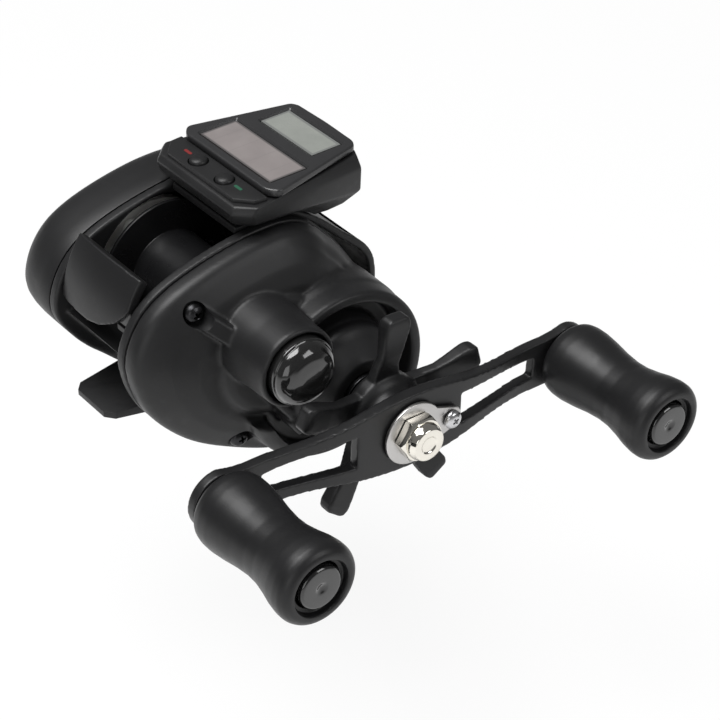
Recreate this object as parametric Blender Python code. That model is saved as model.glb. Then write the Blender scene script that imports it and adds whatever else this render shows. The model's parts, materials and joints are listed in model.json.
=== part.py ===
"""A low-profile baitcasting reel with a line counter on top, as an assembly of separate pieces.

Axes: +X points to the handle, +Y to the rod tip, +Z up. Every length below is in millimetres,
and MM turns it into metres when a mesh is made.
"""
import math

import bmesh
import bpy
from mathutils import Matrix, Vector

MM = 0.001
GAP = 0.3                       # clearance kept between pieces that touch
WELD = 0.002                    # points closer than this are one point

# --- the four axes that everything hangs on (all run along X) --------------------------------
SPOOL_Y, SPOOL_Z = 0.0, 39.6
CRANK_Y, CRANK_Z = 18.1, 24.0
WORM_Y, WORM_Z = 29.6, 30.6
CRANK_TILT = math.radians(-2.2)  # the handle's resting angle

# --- frame and covers -----------------------------------------------------------------------
PLATE_IN, PLATE_OUT = 12.5, 15.0          # inner and outer face of each side plate
SPOOL_BORE = 17.6
FOOT_TOP = 20.8
FOOT_THICK = 2.6
PALM_DEPTH = 17.0                         # how far the palm cover stands off the frame
GEAR_FACE = 30.0                          # outer face of the gear drum
DRUM_RADIUS = 22.7

# --- gears ----------------------------------------------------------------------------------
PINION_TEETH, MAIN_TEETH = 9, 57
CENTRE_DISTANCE = math.hypot(CRANK_Y - SPOOL_Y, CRANK_Z - SPOOL_Z)
GEAR_MODULE = 2 * CENTRE_DISTANCE / (PINION_TEETH + MAIN_TEETH)
WORM_TEETH, IDLER_TEETH = 10, 20
WORM_MODULE = 2 * math.hypot(WORM_Y - CRANK_Y, WORM_Z - CRANK_Z) / (WORM_TEETH + IDLER_TEETH)

# --- spool ----------------------------------------------------------------------------------
SPOOL_RADIUS = 16.5
SPOOL_HALF = 11.8
SHAFT_RADIUS = 1.5
SPOOL_PORTS = 6

# --- handle ---------------------------------------------------------------------------------
HANDLE_REACH = 47.5                       # shaft axis to knob axis
ARM_X = 52.6                              # inner face of the arm at its middle
ARM_THICK = 3.0
ARM_END_RADIUS = 7.2                      # the round ends that carry the knobs
ARM_DROP = 2.6                            # how far the arm ends step toward the reel
KNOB_START, KNOB_END = 53.4, 86.8
STAR_TIP = 25.4
STAR_ANGLE = math.radians(14.3)
STAR_ARMS = 5

# --- line counter ---------------------------------------------------------------------------
BEZEL_TOP = 68.9
DECK_TOP = 67.7
RIM_TOP = 66.7
SOLAR_SIZE = (27.0, 10.3)
SOLAR_Y = 17.1
SCREEN_SIZE = (19.8, 8.5)
SCREEN_Y = 30.2
BUTTON_X = 5.0
BUTTON_Y = 6.0
BUTTON_RADIUS = 2.1

# Side view of the palm side and of the gear side, as (Y, Z) points of a closed smooth curve.
PALM_OUTLINE = [
    (-28.5, 37), (-27, 45), (-21, 52), (-10, 56.5), (6, 59.2), (18.4, 57.9), (27, 50.4),
    (34, 40.4), (38.4, 30), (36, 19.5), (26, 14), (8, 12.5), (-8, 14.4), (-17.6, 21.9), (-24.2, 29)]
GEAR_OUTLINE = [
    (-28.5, 37), (-27, 45), (-21, 52), (-10, 56.5), (6, 59.2), (18.2, 57.8), (26.8, 50.2),
    (33.8, 40.2), (39.8, 29), (40, 17), (33, 6.5), (21, 0.9), (9, 1.6), (-4, 7.4), (-16, 15.3), (-25, 26)]
PALM_CENTRE = (2.0, 37.0)                 # middle that the palm cover's dome closes toward
COWL_PROUD = 1.3                          # room the counter keeps over the front cowl
# The front cowl from over the spool down to the nose; the first and last points only steer the curve.
COWL_CURVE = [
    (-5, 59.4), (3.5, 59.8), (12, 59.7), (20, 58.0), (27, 53.0), (33, 47.4), (36.5, 44.4), (39.8, 41.0),
    (41.8, 36.8), (42.2, 31), (41.2, 25.5), (38.6, 21.4), (34, 18)]
GEAR_CENTRE = (5.0, 31.0)                 # middle that the gear cover's face closes toward
OUTLINE_SAMPLES = 2                       # curve steps from one outline point to the next


# ============================================================================ materials
def finish(name, colour, roughness, metallic):
    material = bpy.data.materials.new(name)
    material.use_nodes = True
    shader = material.node_tree.nodes["Principled BSDF"]
    shader.inputs["Base Color"].default_value = (*colour, 1.0)
    shader.inputs["Roughness"].default_value = roughness
    shader.inputs["Metallic"].default_value = metallic
    material.diffuse_color = (*colour, 1.0)
    return material


FINISHES = {
    "black_body": ((0.022, 0.022, 0.024), 0.5, 0.0),
    "black_metal": ((0.03, 0.03, 0.033), 0.4, 0.6),
    "black_gloss": ((0.01, 0.01, 0.011), 0.12, 0.0),
    "soft_grip": ((0.018, 0.018, 0.019), 0.65, 0.0),
    "bezel_grey": ((0.07, 0.07, 0.072), 0.3, 0.0),
    "steel": ((0.62, 0.62, 0.62), 0.25, 1.0),
    "chrome": ((0.82, 0.8, 0.76), 0.08, 1.0),
    "brass": ((0.72, 0.53, 0.24), 0.3, 1.0),
    "ceramic": ((0.06, 0.06, 0.07), 0.15, 0.0),
    "solar_glass": ((0.36, 0.31, 0.31), 0.15, 0.0),
    "screen_glass": ((0.45, 0.47, 0.44), 0.15, 0.0),
    "board_green": ((0.03, 0.16, 0.07), 0.45, 0.0),
    "white_plastic": ((0.7, 0.7, 0.68), 0.45, 0.0),
    "friction_felt": ((0.06, 0.055, 0.05), 0.9, 0.0),
}


def own_finish(node, kind):
    """Each sub-part carries a material of its own, named after the sub-part."""
    return finish(node + "_finish", *FINISHES[kind])


# ============================================================================ shapes
def smooth_loop(points, samples=OUTLINE_SAMPLES):
    """A closed Catmull-Rom curve through the points."""
    count = len(points)
    loop = []
    for i in range(count):
        before, start, end, after = (Vector(points[(i + k) % count]) for k in (-1, 0, 1, 2))
        for step in range(samples):
            t = step / samples
            loop.append(0.5 * (2 * start + (end - before) * t
                               + (2 * before - 5 * start + 4 * end - after) * t ** 2
                               + (3 * start - before - 3 * end + after) * t ** 3))
    return [tuple(point) for point in loop]


def inset_loop(loop, distance):
    """The same loop moved inward along its own normals (loops here run one way round)."""
    count = len(loop)
    area = sum(loop[i][0] * loop[(i + 1) % count][1] - loop[(i + 1) % count][0] * loop[i][1]
               for i in range(count))
    side = 1 if area > 0 else -1
    moved = []
    for i in range(count):
        ahead, behind = Vector(loop[(i + 1) % count]), Vector(loop[i - 1])
        along = (ahead - behind).normalized()
        inward = Vector((-along.y, along.x)) * side
        moved.append(tuple(Vector(loop[i]) + inward * distance))
    return moved


def shrunk_loop(loop, share, centre):
    """The loop scaled about a centre."""
    return [(centre[0] + (y - centre[0]) * share, centre[1] + (z - centre[1]) * share) for y, z in loop]


def arc(centre, radius, start, end, steps):
    """Points along an arc, angles in degrees."""
    return [(centre[0] + radius * math.cos(math.radians(start + (end - start) * i / steps)),
             centre[1] + radius * math.sin(math.radians(start + (end - start) * i / steps)))
            for i in range(steps + 1)]


def rounded_rectangle(width, height, radius, steps=4, centre=(0, 0)):
    corners = [(1, 1, 0), (-1, 1, 90), (-1, -1, 180), (1, -1, 270)]
    loop = []
    for sx, sy, start in corners:
        middle = (centre[0] + sx * (width / 2 - radius), centre[1] + sy * (height / 2 - radius))
        loop += arc(middle, radius, start, start + 90, steps)
    return loop


def circle(radius, steps=32, centre=(0, 0)):
    return arc(centre, radius, 0, 360 * (steps - 1) / steps, steps - 1)


def loft(rings):
    """A closed solid through rings of equally many 3-D points, with flat ends."""
    bm = bmesh.new()
    layers = [[bm.verts.new(point) for point in ring] for ring in rings]
    for lower, upper in zip(layers, layers[1:]):
        for i in range(len(lower)):
            j = (i + 1) % len(lower)
            bm.faces.new((lower[i], lower[j], upper[j], upper[i]))
    bm.faces.new(layers[0])
    bm.faces.new(layers[-1])
    bmesh.ops.recalc_face_normals(bm, faces=bm.faces)
    return bm


def along_x(loop, x):
    return [(x, y, z) for y, z in loop]


def along_y(loop, y):
    return [(x, y, z) for x, z in loop]


def along_z(loop, z):
    return [(x, y, z) for x, y in loop]


def prism_x(loop, start, end):
    return loft([along_x(loop, start), along_x(loop, end)])


def prism_y(loop, start, end):
    return loft([along_y(loop, start), along_y(loop, end)])


def prism_z(loop, start, end):
    return loft([along_z(loop, start), along_z(loop, end)])


def turned(profile, steps=20, axis="X"):
    """A solid of revolution. The profile is a closed loop of (distance along, radius)."""
    bm = bmesh.new()
    verts = [bm.verts.new((along, 0, radius)) for along, radius in profile]
    edges = [bm.edges.new((verts[i], verts[(i + 1) % len(verts)])) for i in range(len(verts))]
    bmesh.ops.spin(bm, geom=verts + edges, cent=(0, 0, 0), axis=(1, 0, 0),
                   angle=math.tau, steps=steps, use_merge=True, use_duplicate=False)
    bmesh.ops.remove_doubles(bm, verts=bm.verts, dist=1e-4)
    bmesh.ops.dissolve_degenerate(bm, edges=bm.edges, dist=1e-5)
    stray = [edge for edge in bm.edges if not edge.link_faces]
    bmesh.ops.delete(bm, geom=stray, context="EDGES")
    bmesh.ops.recalc_face_normals(bm, faces=bm.faces)
    if axis == "Z":
        bmesh.ops.rotate(bm, verts=bm.verts, matrix=Matrix.Rotation(-math.pi / 2, 3, "Y"))
    if axis == "Y":
        bmesh.ops.rotate(bm, verts=bm.verts, matrix=Matrix.Rotation(math.pi / 2, 3, "Z"))
    return bm


def rod(radius, start, end, steps=18, bevel=0.0, axis="X"):
    if bevel:
        profile = [(start, 0), (start, radius - bevel), (start + bevel, radius),
                   (end - bevel, radius), (end, radius - bevel), (end, 0)]
    else:
        profile = [(start, 0), (start, radius), (end, radius), (end, 0)]
    return turned(profile, steps, axis)


def tube(outer, inner, start, end, steps=20, bevel=0.0):
    profile = [(start, inner), (start, outer - bevel), (start + bevel, outer),
               (end - bevel, outer), (end, outer - bevel), (end, inner)]
    if not bevel:
        profile = [(start, inner), (start, outer), (end, outer), (end, inner)]
    return turned(profile, steps)


def box(x0, x1, y0, y1, z0, z1):
    return prism_z([(x0, y0), (x1, y0), (x1, y1), (x0, y1)], z0, z1)


def moved(bm, offset):
    bmesh.ops.translate(bm, verts=bm.verts, vec=offset)
    return bm


def toothed_loop(teeth, module, gap_share=0.3):
    """Outline of a straight-toothed wheel: trapezoid teeth, thinned so that pairs run free."""
    pitch = teeth * module / 2
    tip, root = pitch + 0.8 * module, pitch - 1.15 * module
    slot = math.tau / teeth
    loop = []
    for tooth in range(teeth):
        middle = tooth * slot
        for share, radius in ((-gap_share, root), (-0.13, tip), (0.13, tip), (gap_share, root)):
            angle = middle + share * slot
            loop.append((radius * math.cos(angle), radius * math.sin(angle)))
    return loop


# ============================================================================ objects
def as_object(name, bm, place=(0, 0, 0), kind=None, tilt=0.0, flat=False):
    """Turns a millimetre bmesh into a placed object in metres, with the foot's underside at zero."""
    bmesh.ops.scale(bm, verts=bm.verts, vec=(MM, MM, MM))
    mesh = bpy.data.meshes.new(name)
    bm.to_mesh(mesh)
    bm.free()
    thing = bpy.data.objects.new(name, mesh)
    bpy.context.scene.collection.objects.link(thing)
    thing.location = (Vector(place) - Vector((0, 0, FOOT_TOP - FOOT_THICK))) * MM
    thing.rotation_euler.x = tilt
    if kind:
        mesh.materials.append(own_finish(name, kind))
    if not flat:
        mesh.shade_smooth()
        mesh.set_sharp_from_angle(angle=math.radians(35))
    return thing


def combine(target, tool_bm, operation="DIFFERENCE", place=(0, 0, 0)):
    """Cuts or joins one shape into the target with the exact Boolean solver."""
    tool = as_object("tool", tool_bm, place)
    modifier = target.modifiers.new("shape", "BOOLEAN")
    modifier.operation = operation
    modifier.solver = "EXACT"
    modifier.object = tool
    bpy.context.view_layer.update()
    evaluated = target.evaluated_get(bpy.context.evaluated_depsgraph_get())
    result = bpy.data.meshes.new_from_object(evaluated)
    target.modifiers.clear()
    old = target.data
    target.data = result
    result.name = target.name
    bpy.data.meshes.remove(old)
    tool_mesh = tool.data
    bpy.data.objects.remove(tool)
    bpy.data.meshes.remove(tool_mesh)
    tidy_mesh(target.data)
    target.data.shade_smooth()
    target.data.set_sharp_from_angle(angle=math.radians(35))


def tidy_mesh(mesh):
    """Welds the slivers that a cut leaves and splits the faces it left with holes."""
    bm = bmesh.new()
    bm.from_mesh(mesh)
    bmesh.ops.remove_doubles(bm, verts=bm.verts, dist=WELD * MM)
    bmesh.ops.dissolve_degenerate(bm, edges=bm.edges, dist=WELD * MM)
    bmesh.ops.triangulate(bm, faces=bm.faces)
    bm.to_mesh(mesh)
    bm.free()


def cut(target, tool_bm, place=(0, 0, 0)):
    combine(target, tool_bm, "DIFFERENCE", place)


def join(target, tool_bm, place=(0, 0, 0)):
    combine(target, tool_bm, "UNION", place)


SPOOL_AXIS = (0, SPOOL_Y, SPOOL_Z)
CRANK_AXIS = (0, CRANK_Y, CRANK_Z)
WORM_AXIS = (0, WORM_Y, WORM_Z)


# ============================================================================ frame
def build_frame():
    palm, gear = smooth_loop(PALM_OUTLINE), smooth_loop(GEAR_OUTLINE)
    frame = as_object("frame", prism_x(palm, -PLATE_OUT, PLATE_IN + 1), kind="black_body")
    join(frame, prism_x(gear, PLATE_IN, PLATE_OUT))
    cut(frame, rod(SPOOL_BORE, -PLATE_OUT - 1, PLATE_IN, 28), SPOOL_AXIS)
    # the opening over the spool, from the rear cowl forward to the counter, and the guide's room
    opening = [(-40, 37.0), (-21.5, 37.0), (-17.0, 38.2), (-14, 46), (0, 46), (14, 30), (19, 23.4),
               (34, 20.5), (60, 20.5), (60, 80), (-40, 80)]
    cut(frame, prism_x(opening, -PLATE_IN, PLATE_IN))
    # the rear wall stands in from the side plates, under the thumb bar
    rear = [(-40, 37.4), (-25.9, 37.4), (-22.0, 31.9), (-17.5, 26.0), (-13.0, 21.0), (-13.0, 15), (-40, 15)]
    cut(frame, prism_x(rear, -PLATE_IN, PLATE_IN))
    # the saddle under the spool, where the rod's seat passes between the side plates
    cut(frame, box(-PLATE_IN, PLATE_IN, -60, 60, -5, FOOT_TOP + GAP))
    # bearing seats and shaft holes through the gear-side plate
    for axis, radius in ((SPOOL_AXIS, 5.3), (CRANK_AXIS, 3.6), (WORM_AXIS, 2.3)):
        cut(frame, rod(radius, PLATE_IN - 1, PLATE_OUT + 1, 18), axis)
    cut(frame, rod(2.3, -PLATE_OUT - 1, -PLATE_IN + 1, 18), WORM_AXIS)
    for y, z in GUIDE_RODS:
        cut(frame, rod(GUIDE_ROD_RADIUS + GAP, -PLATE_OUT - 1, PLATE_OUT + 1, 16), (0, y, z))
    for y in RIVET_Y:
        cut(frame, rod(1.5 + GAP, FOOT_TOP - 1, FOOT_TOP + 5, 12, axis="Z"), (0, y, 0))
    # slot that lets the thumb bar reach the clutch behind the gear-side plate
    cut(frame, box(PLATE_IN - 1, PLATE_OUT + 1, -21.8, -18.6, 33.5, 43.5))
    return frame


GUIDE_RODS = [(25.4, 38.6), (31.6, 25.0)]
GUIDE_ROD_RADIUS = 1.0
RIVET_Y = (-12.0, 22.0)


def build_foot():
    """The reel foot: a flat saddle with a tapered tongue at each end for the rod's seat."""
    under = FOOT_TOP - FOOT_THICK
    half_rear, half_mid = 7.3, 10.5
    outline = [(-half_rear + 2, -28.7), (half_rear - 2, -28.7), (half_rear, -26.9),
               (half_mid, -9), (half_mid, 19), (half_rear, 33.9), (half_rear - 2, 35.7),
               (-half_rear + 2, 35.7), (-half_rear, 33.9), (-half_mid, 19), (-half_mid, -9),
               (-half_rear, -26.9)]
    foot = as_object("reel_foot", prism_z(outline, under, FOOT_TOP), kind="black_metal")
    for middle, side in ((-10.0, -1), (15.0, 1)):
        cut(foot, prism_x([(middle + side * 22, under - 2), (middle + side * 5, under - 2),
                           (middle + side * 5, under), (middle + side * 22, under + 1.4)], -15, 15))
    for y in RIVET_Y:
        cut(foot, rod(1.5 + GAP, under - 1, FOOT_TOP + 1, 16, axis="Z"), (0, y, 0))
        cut(foot, rod(2.9 + GAP, under - 1, under + 1.2, 16, axis="Z"), (0, y, 0))
    for name, y in zip(("foot_rivet_rear", "foot_rivet_front"), RIVET_Y):
        profile = [(0.2, 0), (0.2, 2.6), (0.9, 2.6), (0.9, 1.5), (FOOT_THICK + 1.6, 1.5),
                   (FOOT_THICK + 1.6, 0)]
        as_object(name, turned(profile, 16, "Z"), (0, y, under), "steel")


def build_front_cowl():
    """The curved cover over the line guide, with the wide slot that the line leaves through."""
    skin = 1.9
    whole = smooth_loop(COWL_CURVE)
    stretch = slice(OUTLINE_SAMPLES, OUTLINE_SAMPLES * (len(COWL_CURVE) - 2) + 1)
    section = whole[stretch] + inset_loop(whole, skin)[stretch][::-1]
    half = PLATE_IN - GAP
    cowl = as_object("front_cowl", prism_x(section, -half, half), kind="black_body")
    slot = rounded_rectangle(21.6, 4.8, 2.3, 4, (0, 36.3))
    cut(cowl, prism_z(slot, 36, 60))
    return cowl


def palm_rings(rim, stations):
    return [along_x(shrunk_loop(rim, share, PALM_CENTRE), x) for x, share in stations]


def build_palm_cover():
    """The domed side cover under the angler's palm, with the spool's bearing hub inside."""
    rim = smooth_loop(PALM_OUTLINE)
    near = -PLATE_OUT - GAP
    stations = [(near, 1.0), (near - 7, 1.0), (near - 11.5, 0.975), (near - 14.5, 0.91),
                (near - 16.3, 0.8), (near - PALM_DEPTH, 0.64)]
    cover = as_object("palm_cover", loft(palm_rings(rim, stations)), kind="black_body")
    hollow = [(near + 1, 0.92), (near - 8, 0.92), (near - 12, 0.84), (near - 14.3, 0.7)]
    cut(cover, loft(palm_rings(rim, hollow)))
    join(cover, tube(6.6, 4.0, near - 15.5, near - 1.5, 18), SPOOL_AXIS)
    cut(cover, rod(5.2, near - 6.2, near, 18), SPOOL_AXIS)
    cut(cover, rod(DIAL_RADIUS + 0.5, near - 25, near - 14.6, 20), SPOOL_AXIS)
    cut(cover, rod(3.2, near - 25, near, 18), SPOOL_AXIS)
    return cover


DIAL_RADIUS = 9.0


def build_brake():
    """The cast brake: a numbered dial outside, and the magnet plate that it moves inside."""
    face = -PLATE_OUT - GAP - PALM_DEPTH - 1.4
    back = -PLATE_OUT - GAP - 14.6 - GAP
    profile = [(face, 0), (face, DIAL_RADIUS - 1.6), (face + 0.8, DIAL_RADIUS - 0.4),
               (face + 1.6, DIAL_RADIUS), (back, DIAL_RADIUS), (back, 2.6), (-21.9, 2.6), (-21.9, 0)]
    dial = as_object("brake_dial", turned(profile, 24), SPOOL_AXIS, "black_metal")
    grip = box(face - 1, face + 1.1, -7.0, 7.0, 1.2, 2.4)
    cut(dial, grip, SPOOL_AXIS)
    cut(dial, box(face - 1, face + 1.1, -7.0, 7.0, -2.4, -1.2), SPOOL_AXIS)
    plate = as_object("brake_magnet_plate", tube(14.5, 7.2, -18.4, -16.4, 24), SPOOL_AXIS,
                      "white_plastic")
    for i in range(6):
        angle = math.tau * i / 6
        spot = (0, SPOOL_Y + 11 * math.cos(angle), SPOOL_Z + 11 * math.sin(angle))
        join(plate, rod(2.4, -17.0, -15.2, 10), spot)


# ============================================================================ gear side
def gear_rings(rim, stations):
    return [along_x(shrunk_loop(rim, share, GEAR_CENTRE), x) for x, share in stations]


def build_gear_cover():
    """The cover over the gears: a sloped face, the gear drum, the knob boss and the ridge."""
    rim = smooth_loop(GEAR_OUTLINE)
    near = PLATE_OUT + GAP
    stations = [(near, 1.0), (near + 1.6, 1.0), (near + 3.6, 0.92), (near + 7.5, 0.78), (near + 9.5, 0.62)]
    cover = as_object("gear_cover", loft(gear_rings(rim, stations)), kind="black_body")
    drum = [(near + 1, 0), (near + 1, DRUM_RADIUS), (GEAR_FACE - 4, DRUM_RADIUS - 0.2),
            (GEAR_FACE, DRUM_RADIUS - 2.8), (GEAR_FACE, 0)]
    join(cover, turned(drum, 28), CRANK_AXIS)
    # the channel round the middle boss
    channel = [(GEAR_FACE - 4, 14.6), (GEAR_FACE - 4, 18.6), (GEAR_FACE + 1, 19.0), (GEAR_FACE + 1, 14.6)]
    cut(cover, turned(channel, 28), CRANK_AXIS)
    boss = [(near + 5, 0), (near + 5, 14.3), (GEAR_FACE + 3.0, 14.3), (GEAR_FACE + 4.4, 12.6),
            (GEAR_FACE + 8.5, 9.4), (GEAR_FACE + 9.2, 8.6), (GEAR_FACE + 9.2, 0)]
    join(cover, turned(boss, 24), CRANK_AXIS)
    # the boss and spigot under the cast-control knob, and the ridge that runs to its rear screw
    collar = [(near + 3, 0), (near + 3, 12.0), (near + 9, 10.6), (36.4, 9.4), (36.4, 6.0),
              (40.7, 6.0), (40.7, 0)]
    join(cover, turned(collar, 20), SPOOL_AXIS)
    ridge = [(-15.4, 49.6), (-12.6, 46.2), (-6.0, 36.0), (4.0, 34.0), (6.0, 46.0), (-5.0, 47.8),
             (-12.3, 52.6)]
    join(cover, loft([along_x(ridge, near + 3), along_x(ridge, 27.5), along_x(inset_loop(ridge, 1.2), 30.5)]))
    hollow_cover(cover, rim, near)
    return cover


def hollow_cover(cover, rim, near):
    """Room for the gear train, the one-way bearing and the pinion's end bearing."""
    cut(cover, loft(gear_rings(rim, [(near - 1, 0.93), (near + 1.4, 0.93), (near + 5.5, 0.76)])))
    cut(cover, rod(21.7, near - 1, GEAR_FACE - 6.4, 28), CRANK_AXIS)
    cut(cover, rod(10.3, near, GEAR_FACE + 2.9, 20), CRANK_AXIS)
    cut(cover, rod(6.3, near, GEAR_FACE + 12, 18), CRANK_AXIS)
    cut(cover, rod(8.2, near - 1, 27.0, 18), SPOOL_AXIS)
    cut(cover, rod(5.3, near - 1, 33.0, 18), SPOOL_AXIS)
    cut(cover, rod(2.4, near - 1, 42.0, 16), SPOOL_AXIS)
    for y, z in COVER_SCREWS:
        cut(cover, rod(2.6, 20.6, 50, 16), (0, y, z))
        cut(cover, rod(1.5, near - 1, 22, 16), (0, y, z))


COVER_SCREWS = [(-14.2, 50.0), (-3.9, 12.1)]


def build_cover_screws():
    for name, (y, z) in zip(("cover_screw_rear", "cover_screw_lower"), COVER_SCREWS):
        profile = [(15.6, 0), (15.6, 1.2), (20.9, 1.2), (20.9, 2.3), (21.8, 2.2), (22.6, 1.5), (22.8, 0)]
        screw = as_object(name, turned(profile, 16), (0, y, z), "steel")
        for width, height in ((0.7, 3.0), (3.0, 0.7)):
            cut(screw, box(21.9, 23.5, -width / 2, width / 2, -height / 2, height / 2), (0, y, z))


def build_gear_train():
    """Pinion, main gear and the small pair that drives the line guide's worm."""
    pitch = PINION_TEETH * GEAR_MODULE / 2
    pinion = as_object("pinion_gear", prism_x(toothed_loop(PINION_TEETH, GEAR_MODULE), 17.0, 24.0),
                       SPOOL_AXIS, "brass")
    join(pinion, turned([(23.8, 0), (23.8, 2.5), (25.8, 2.5), (25.8, pitch), (31.6, pitch), (31.6, 0)], 18),
         SPOOL_AXIS)
    cut(pinion, rod(SHAFT_RADIUS + GAP, 10, 40, 16), SPOOL_AXIS)
    main = as_object("main_gear", prism_x(toothed_loop(MAIN_TEETH, GEAR_MODULE), 19.2, 22.4),
                     CRANK_AXIS, "brass")
    # half a tooth of turn sets a gap of the wheel against the pinion's tooth
    mesh_angle = math.atan2(SPOOL_Z - CRANK_Z, SPOOL_Y - CRANK_Y)
    pinion_slot, main_slot = math.tau / PINION_TEETH, math.tau / MAIN_TEETH
    pinion.rotation_euler.x = (mesh_angle + math.pi) % pinion_slot
    main.rotation_euler.x = (mesh_angle + main_slot / 2) % main_slot
    cut(main, rod(15.4, 20.6, 30, 28), CRANK_AXIS)
    cut(main, rod(3.6, 10, 30, 18), CRANK_AXIS)
    idler = as_object("guide_drive_gear", prism_x(toothed_loop(IDLER_TEETH, WORM_MODULE), 16.0, 18.4),
                      CRANK_AXIS, "white_plastic")
    cut(idler, rod(3.4, 10, 30, 18), CRANK_AXIS)
    worm = as_object("worm_gear", prism_x(toothed_loop(WORM_TEETH, WORM_MODULE), 16.0, 18.4),
                     WORM_AXIS, "white_plastic")
    cut(worm, rod(1.5 + GAP, 10, 30, 16), WORM_AXIS)
    worm_angle = math.atan2(CRANK_Z - WORM_Z, CRANK_Y - WORM_Y)
    worm.rotation_euler.x = worm_angle % (math.tau / WORM_TEETH)
    idler_slot = math.tau / IDLER_TEETH
    idler.rotation_euler.x = (worm_angle + math.pi + idler_slot / 2) % idler_slot


def build_drive_shaft():
    """The handle's shaft with the drag stack, the one-way bearing and its sleeve."""
    profile = [(12.8, 0), (12.8, 2.2), (15.6, 2.2), (15.6, 3.0), (58.0, 3.0), (58.8, 2.4), (58.8, 0)]
    as_object("drive_shaft", turned(profile, 18), CRANK_AXIS, "steel")
    as_object("shaft_bearing", tube(3.3, 2.5, 12.7, 15.0, 18), CRANK_AXIS, "steel")
    as_object("drag_washer_carbon", tube(15.0, 3.4, 20.9, 21.9, 20), CRANK_AXIS, "friction_felt")
    as_object("drag_washer_steel", tube(15.0, 3.4, 22.2, 23.0, 20), CRANK_AXIS, "steel")
    as_object("bearing_sleeve", tube(6.0, 3.4, 23.4, 40.2, 18), CRANK_AXIS, "steel")
    as_object("one_way_bearing", tube(10.0, 6.3, 24.4, 31.8, 20, 0.4), CRANK_AXIS, "steel")
    as_object("drag_spring_washer", turned([(40.5, 3.4), (40.5, 5.2), (41.3, 6.4), (42.0, 6.4),
                                            (41.2, 5.2), (41.2, 3.4)], 28), CRANK_AXIS, "steel")


# ============================================================================ spool and clutch
def build_spool():
    half, edge = SPOOL_HALF, SPOOL_RADIUS
    profile = [(-half, 14.6), (-half, edge), (-half + 0.9, edge), (-half + 1.9, 9.6), (half - 1.9, 9.6),
               (half - 0.9, edge), (half, edge), (half, 14.6), (half - 2.2, 8.4), (1.4, 8.4), (1.4, 3.4),
               (6.0, 3.4), (6.0, SHAFT_RADIUS + GAP), (-6.0, SHAFT_RADIUS + GAP), (-6.0, 3.4),
               (-1.4, 3.4), (-1.4, 8.4), (-half + 2.2, 8.4)]
    spool = as_object("spool", turned(profile, 24), SPOOL_AXIS, "black_metal")
    for i in range(SPOOL_PORTS):
        angle = math.tau * i / SPOOL_PORTS
        port = rod(1.5, 4.0, 14.0, 8, axis="Z")
        bmesh.ops.rotate(port, verts=port.verts, matrix=Matrix.Rotation(angle, 3, "X"))
        cut(spool, moved(port, (5.2, 0, 0)), SPOOL_AXIS)
    as_object("spool_shaft", rod(SHAFT_RADIUS, -21.5, 39.8, 16, 0.3), SPOOL_AXIS, "steel")
    as_object("spool_bearing_palm", tube(4.9, SHAFT_RADIUS + GAP, -21.2, -18.0, 16), SPOOL_AXIS, "steel")
    as_object("spool_bearing_gear", tube(5.0, SHAFT_RADIUS + GAP, 12.5, 15.0, 16), SPOOL_AXIS, "steel")
    as_object("pinion_bearing", tube(5.0, 3.6, 29.0, 31.6, 16), SPOOL_AXIS, "steel")
    ring = tube(13.4, 9.4, -13.2, -12.1, 20)
    as_object("brake_rotor", ring, SPOOL_AXIS, "steel")


def build_clutch():
    """Thumb bar, the slide behind the gear plate, and the yoke that pulls the pinion clear."""
    outer = arc((SPOOL_Y, SPOOL_Z), 27.6, 142, 176, 12)
    inner = arc((SPOOL_Y, SPOOL_Z), 24.4, 176, 142, 12)
    half = PLATE_IN - GAP
    bar = as_object("thumb_bar", prism_x(outer + inner, -half, half), kind="black_body")
    join(bar, box(PLATE_IN - 1.5, 17.6, -21.5, -18.9, 41.5, 43.2))
    join(bar, box(6.0, PLATE_IN - 0.4, -25.2, -18.9, 41.6, 43.2))
    plate = [(-20.5, 41.2), (-20.5, 33.0), (-13.0, 30.6), (-7.5, 33.0), (-7.5, 36.4), (-14.0, 38.9),
             (-18.2, 41.2)]
    as_object("clutch_slide", prism_x(plate, 15.4, 16.6), kind="steel")
    yoke = as_object("pinion_yoke", prism_x(rounded_rectangle(9.0, 12.6, 2.0, 3), 24.2, 25.4), SPOOL_AXIS,
                     "white_plastic")
    cut(yoke, rod(2.5 + GAP, 20, 30, 16), SPOOL_AXIS)


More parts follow.
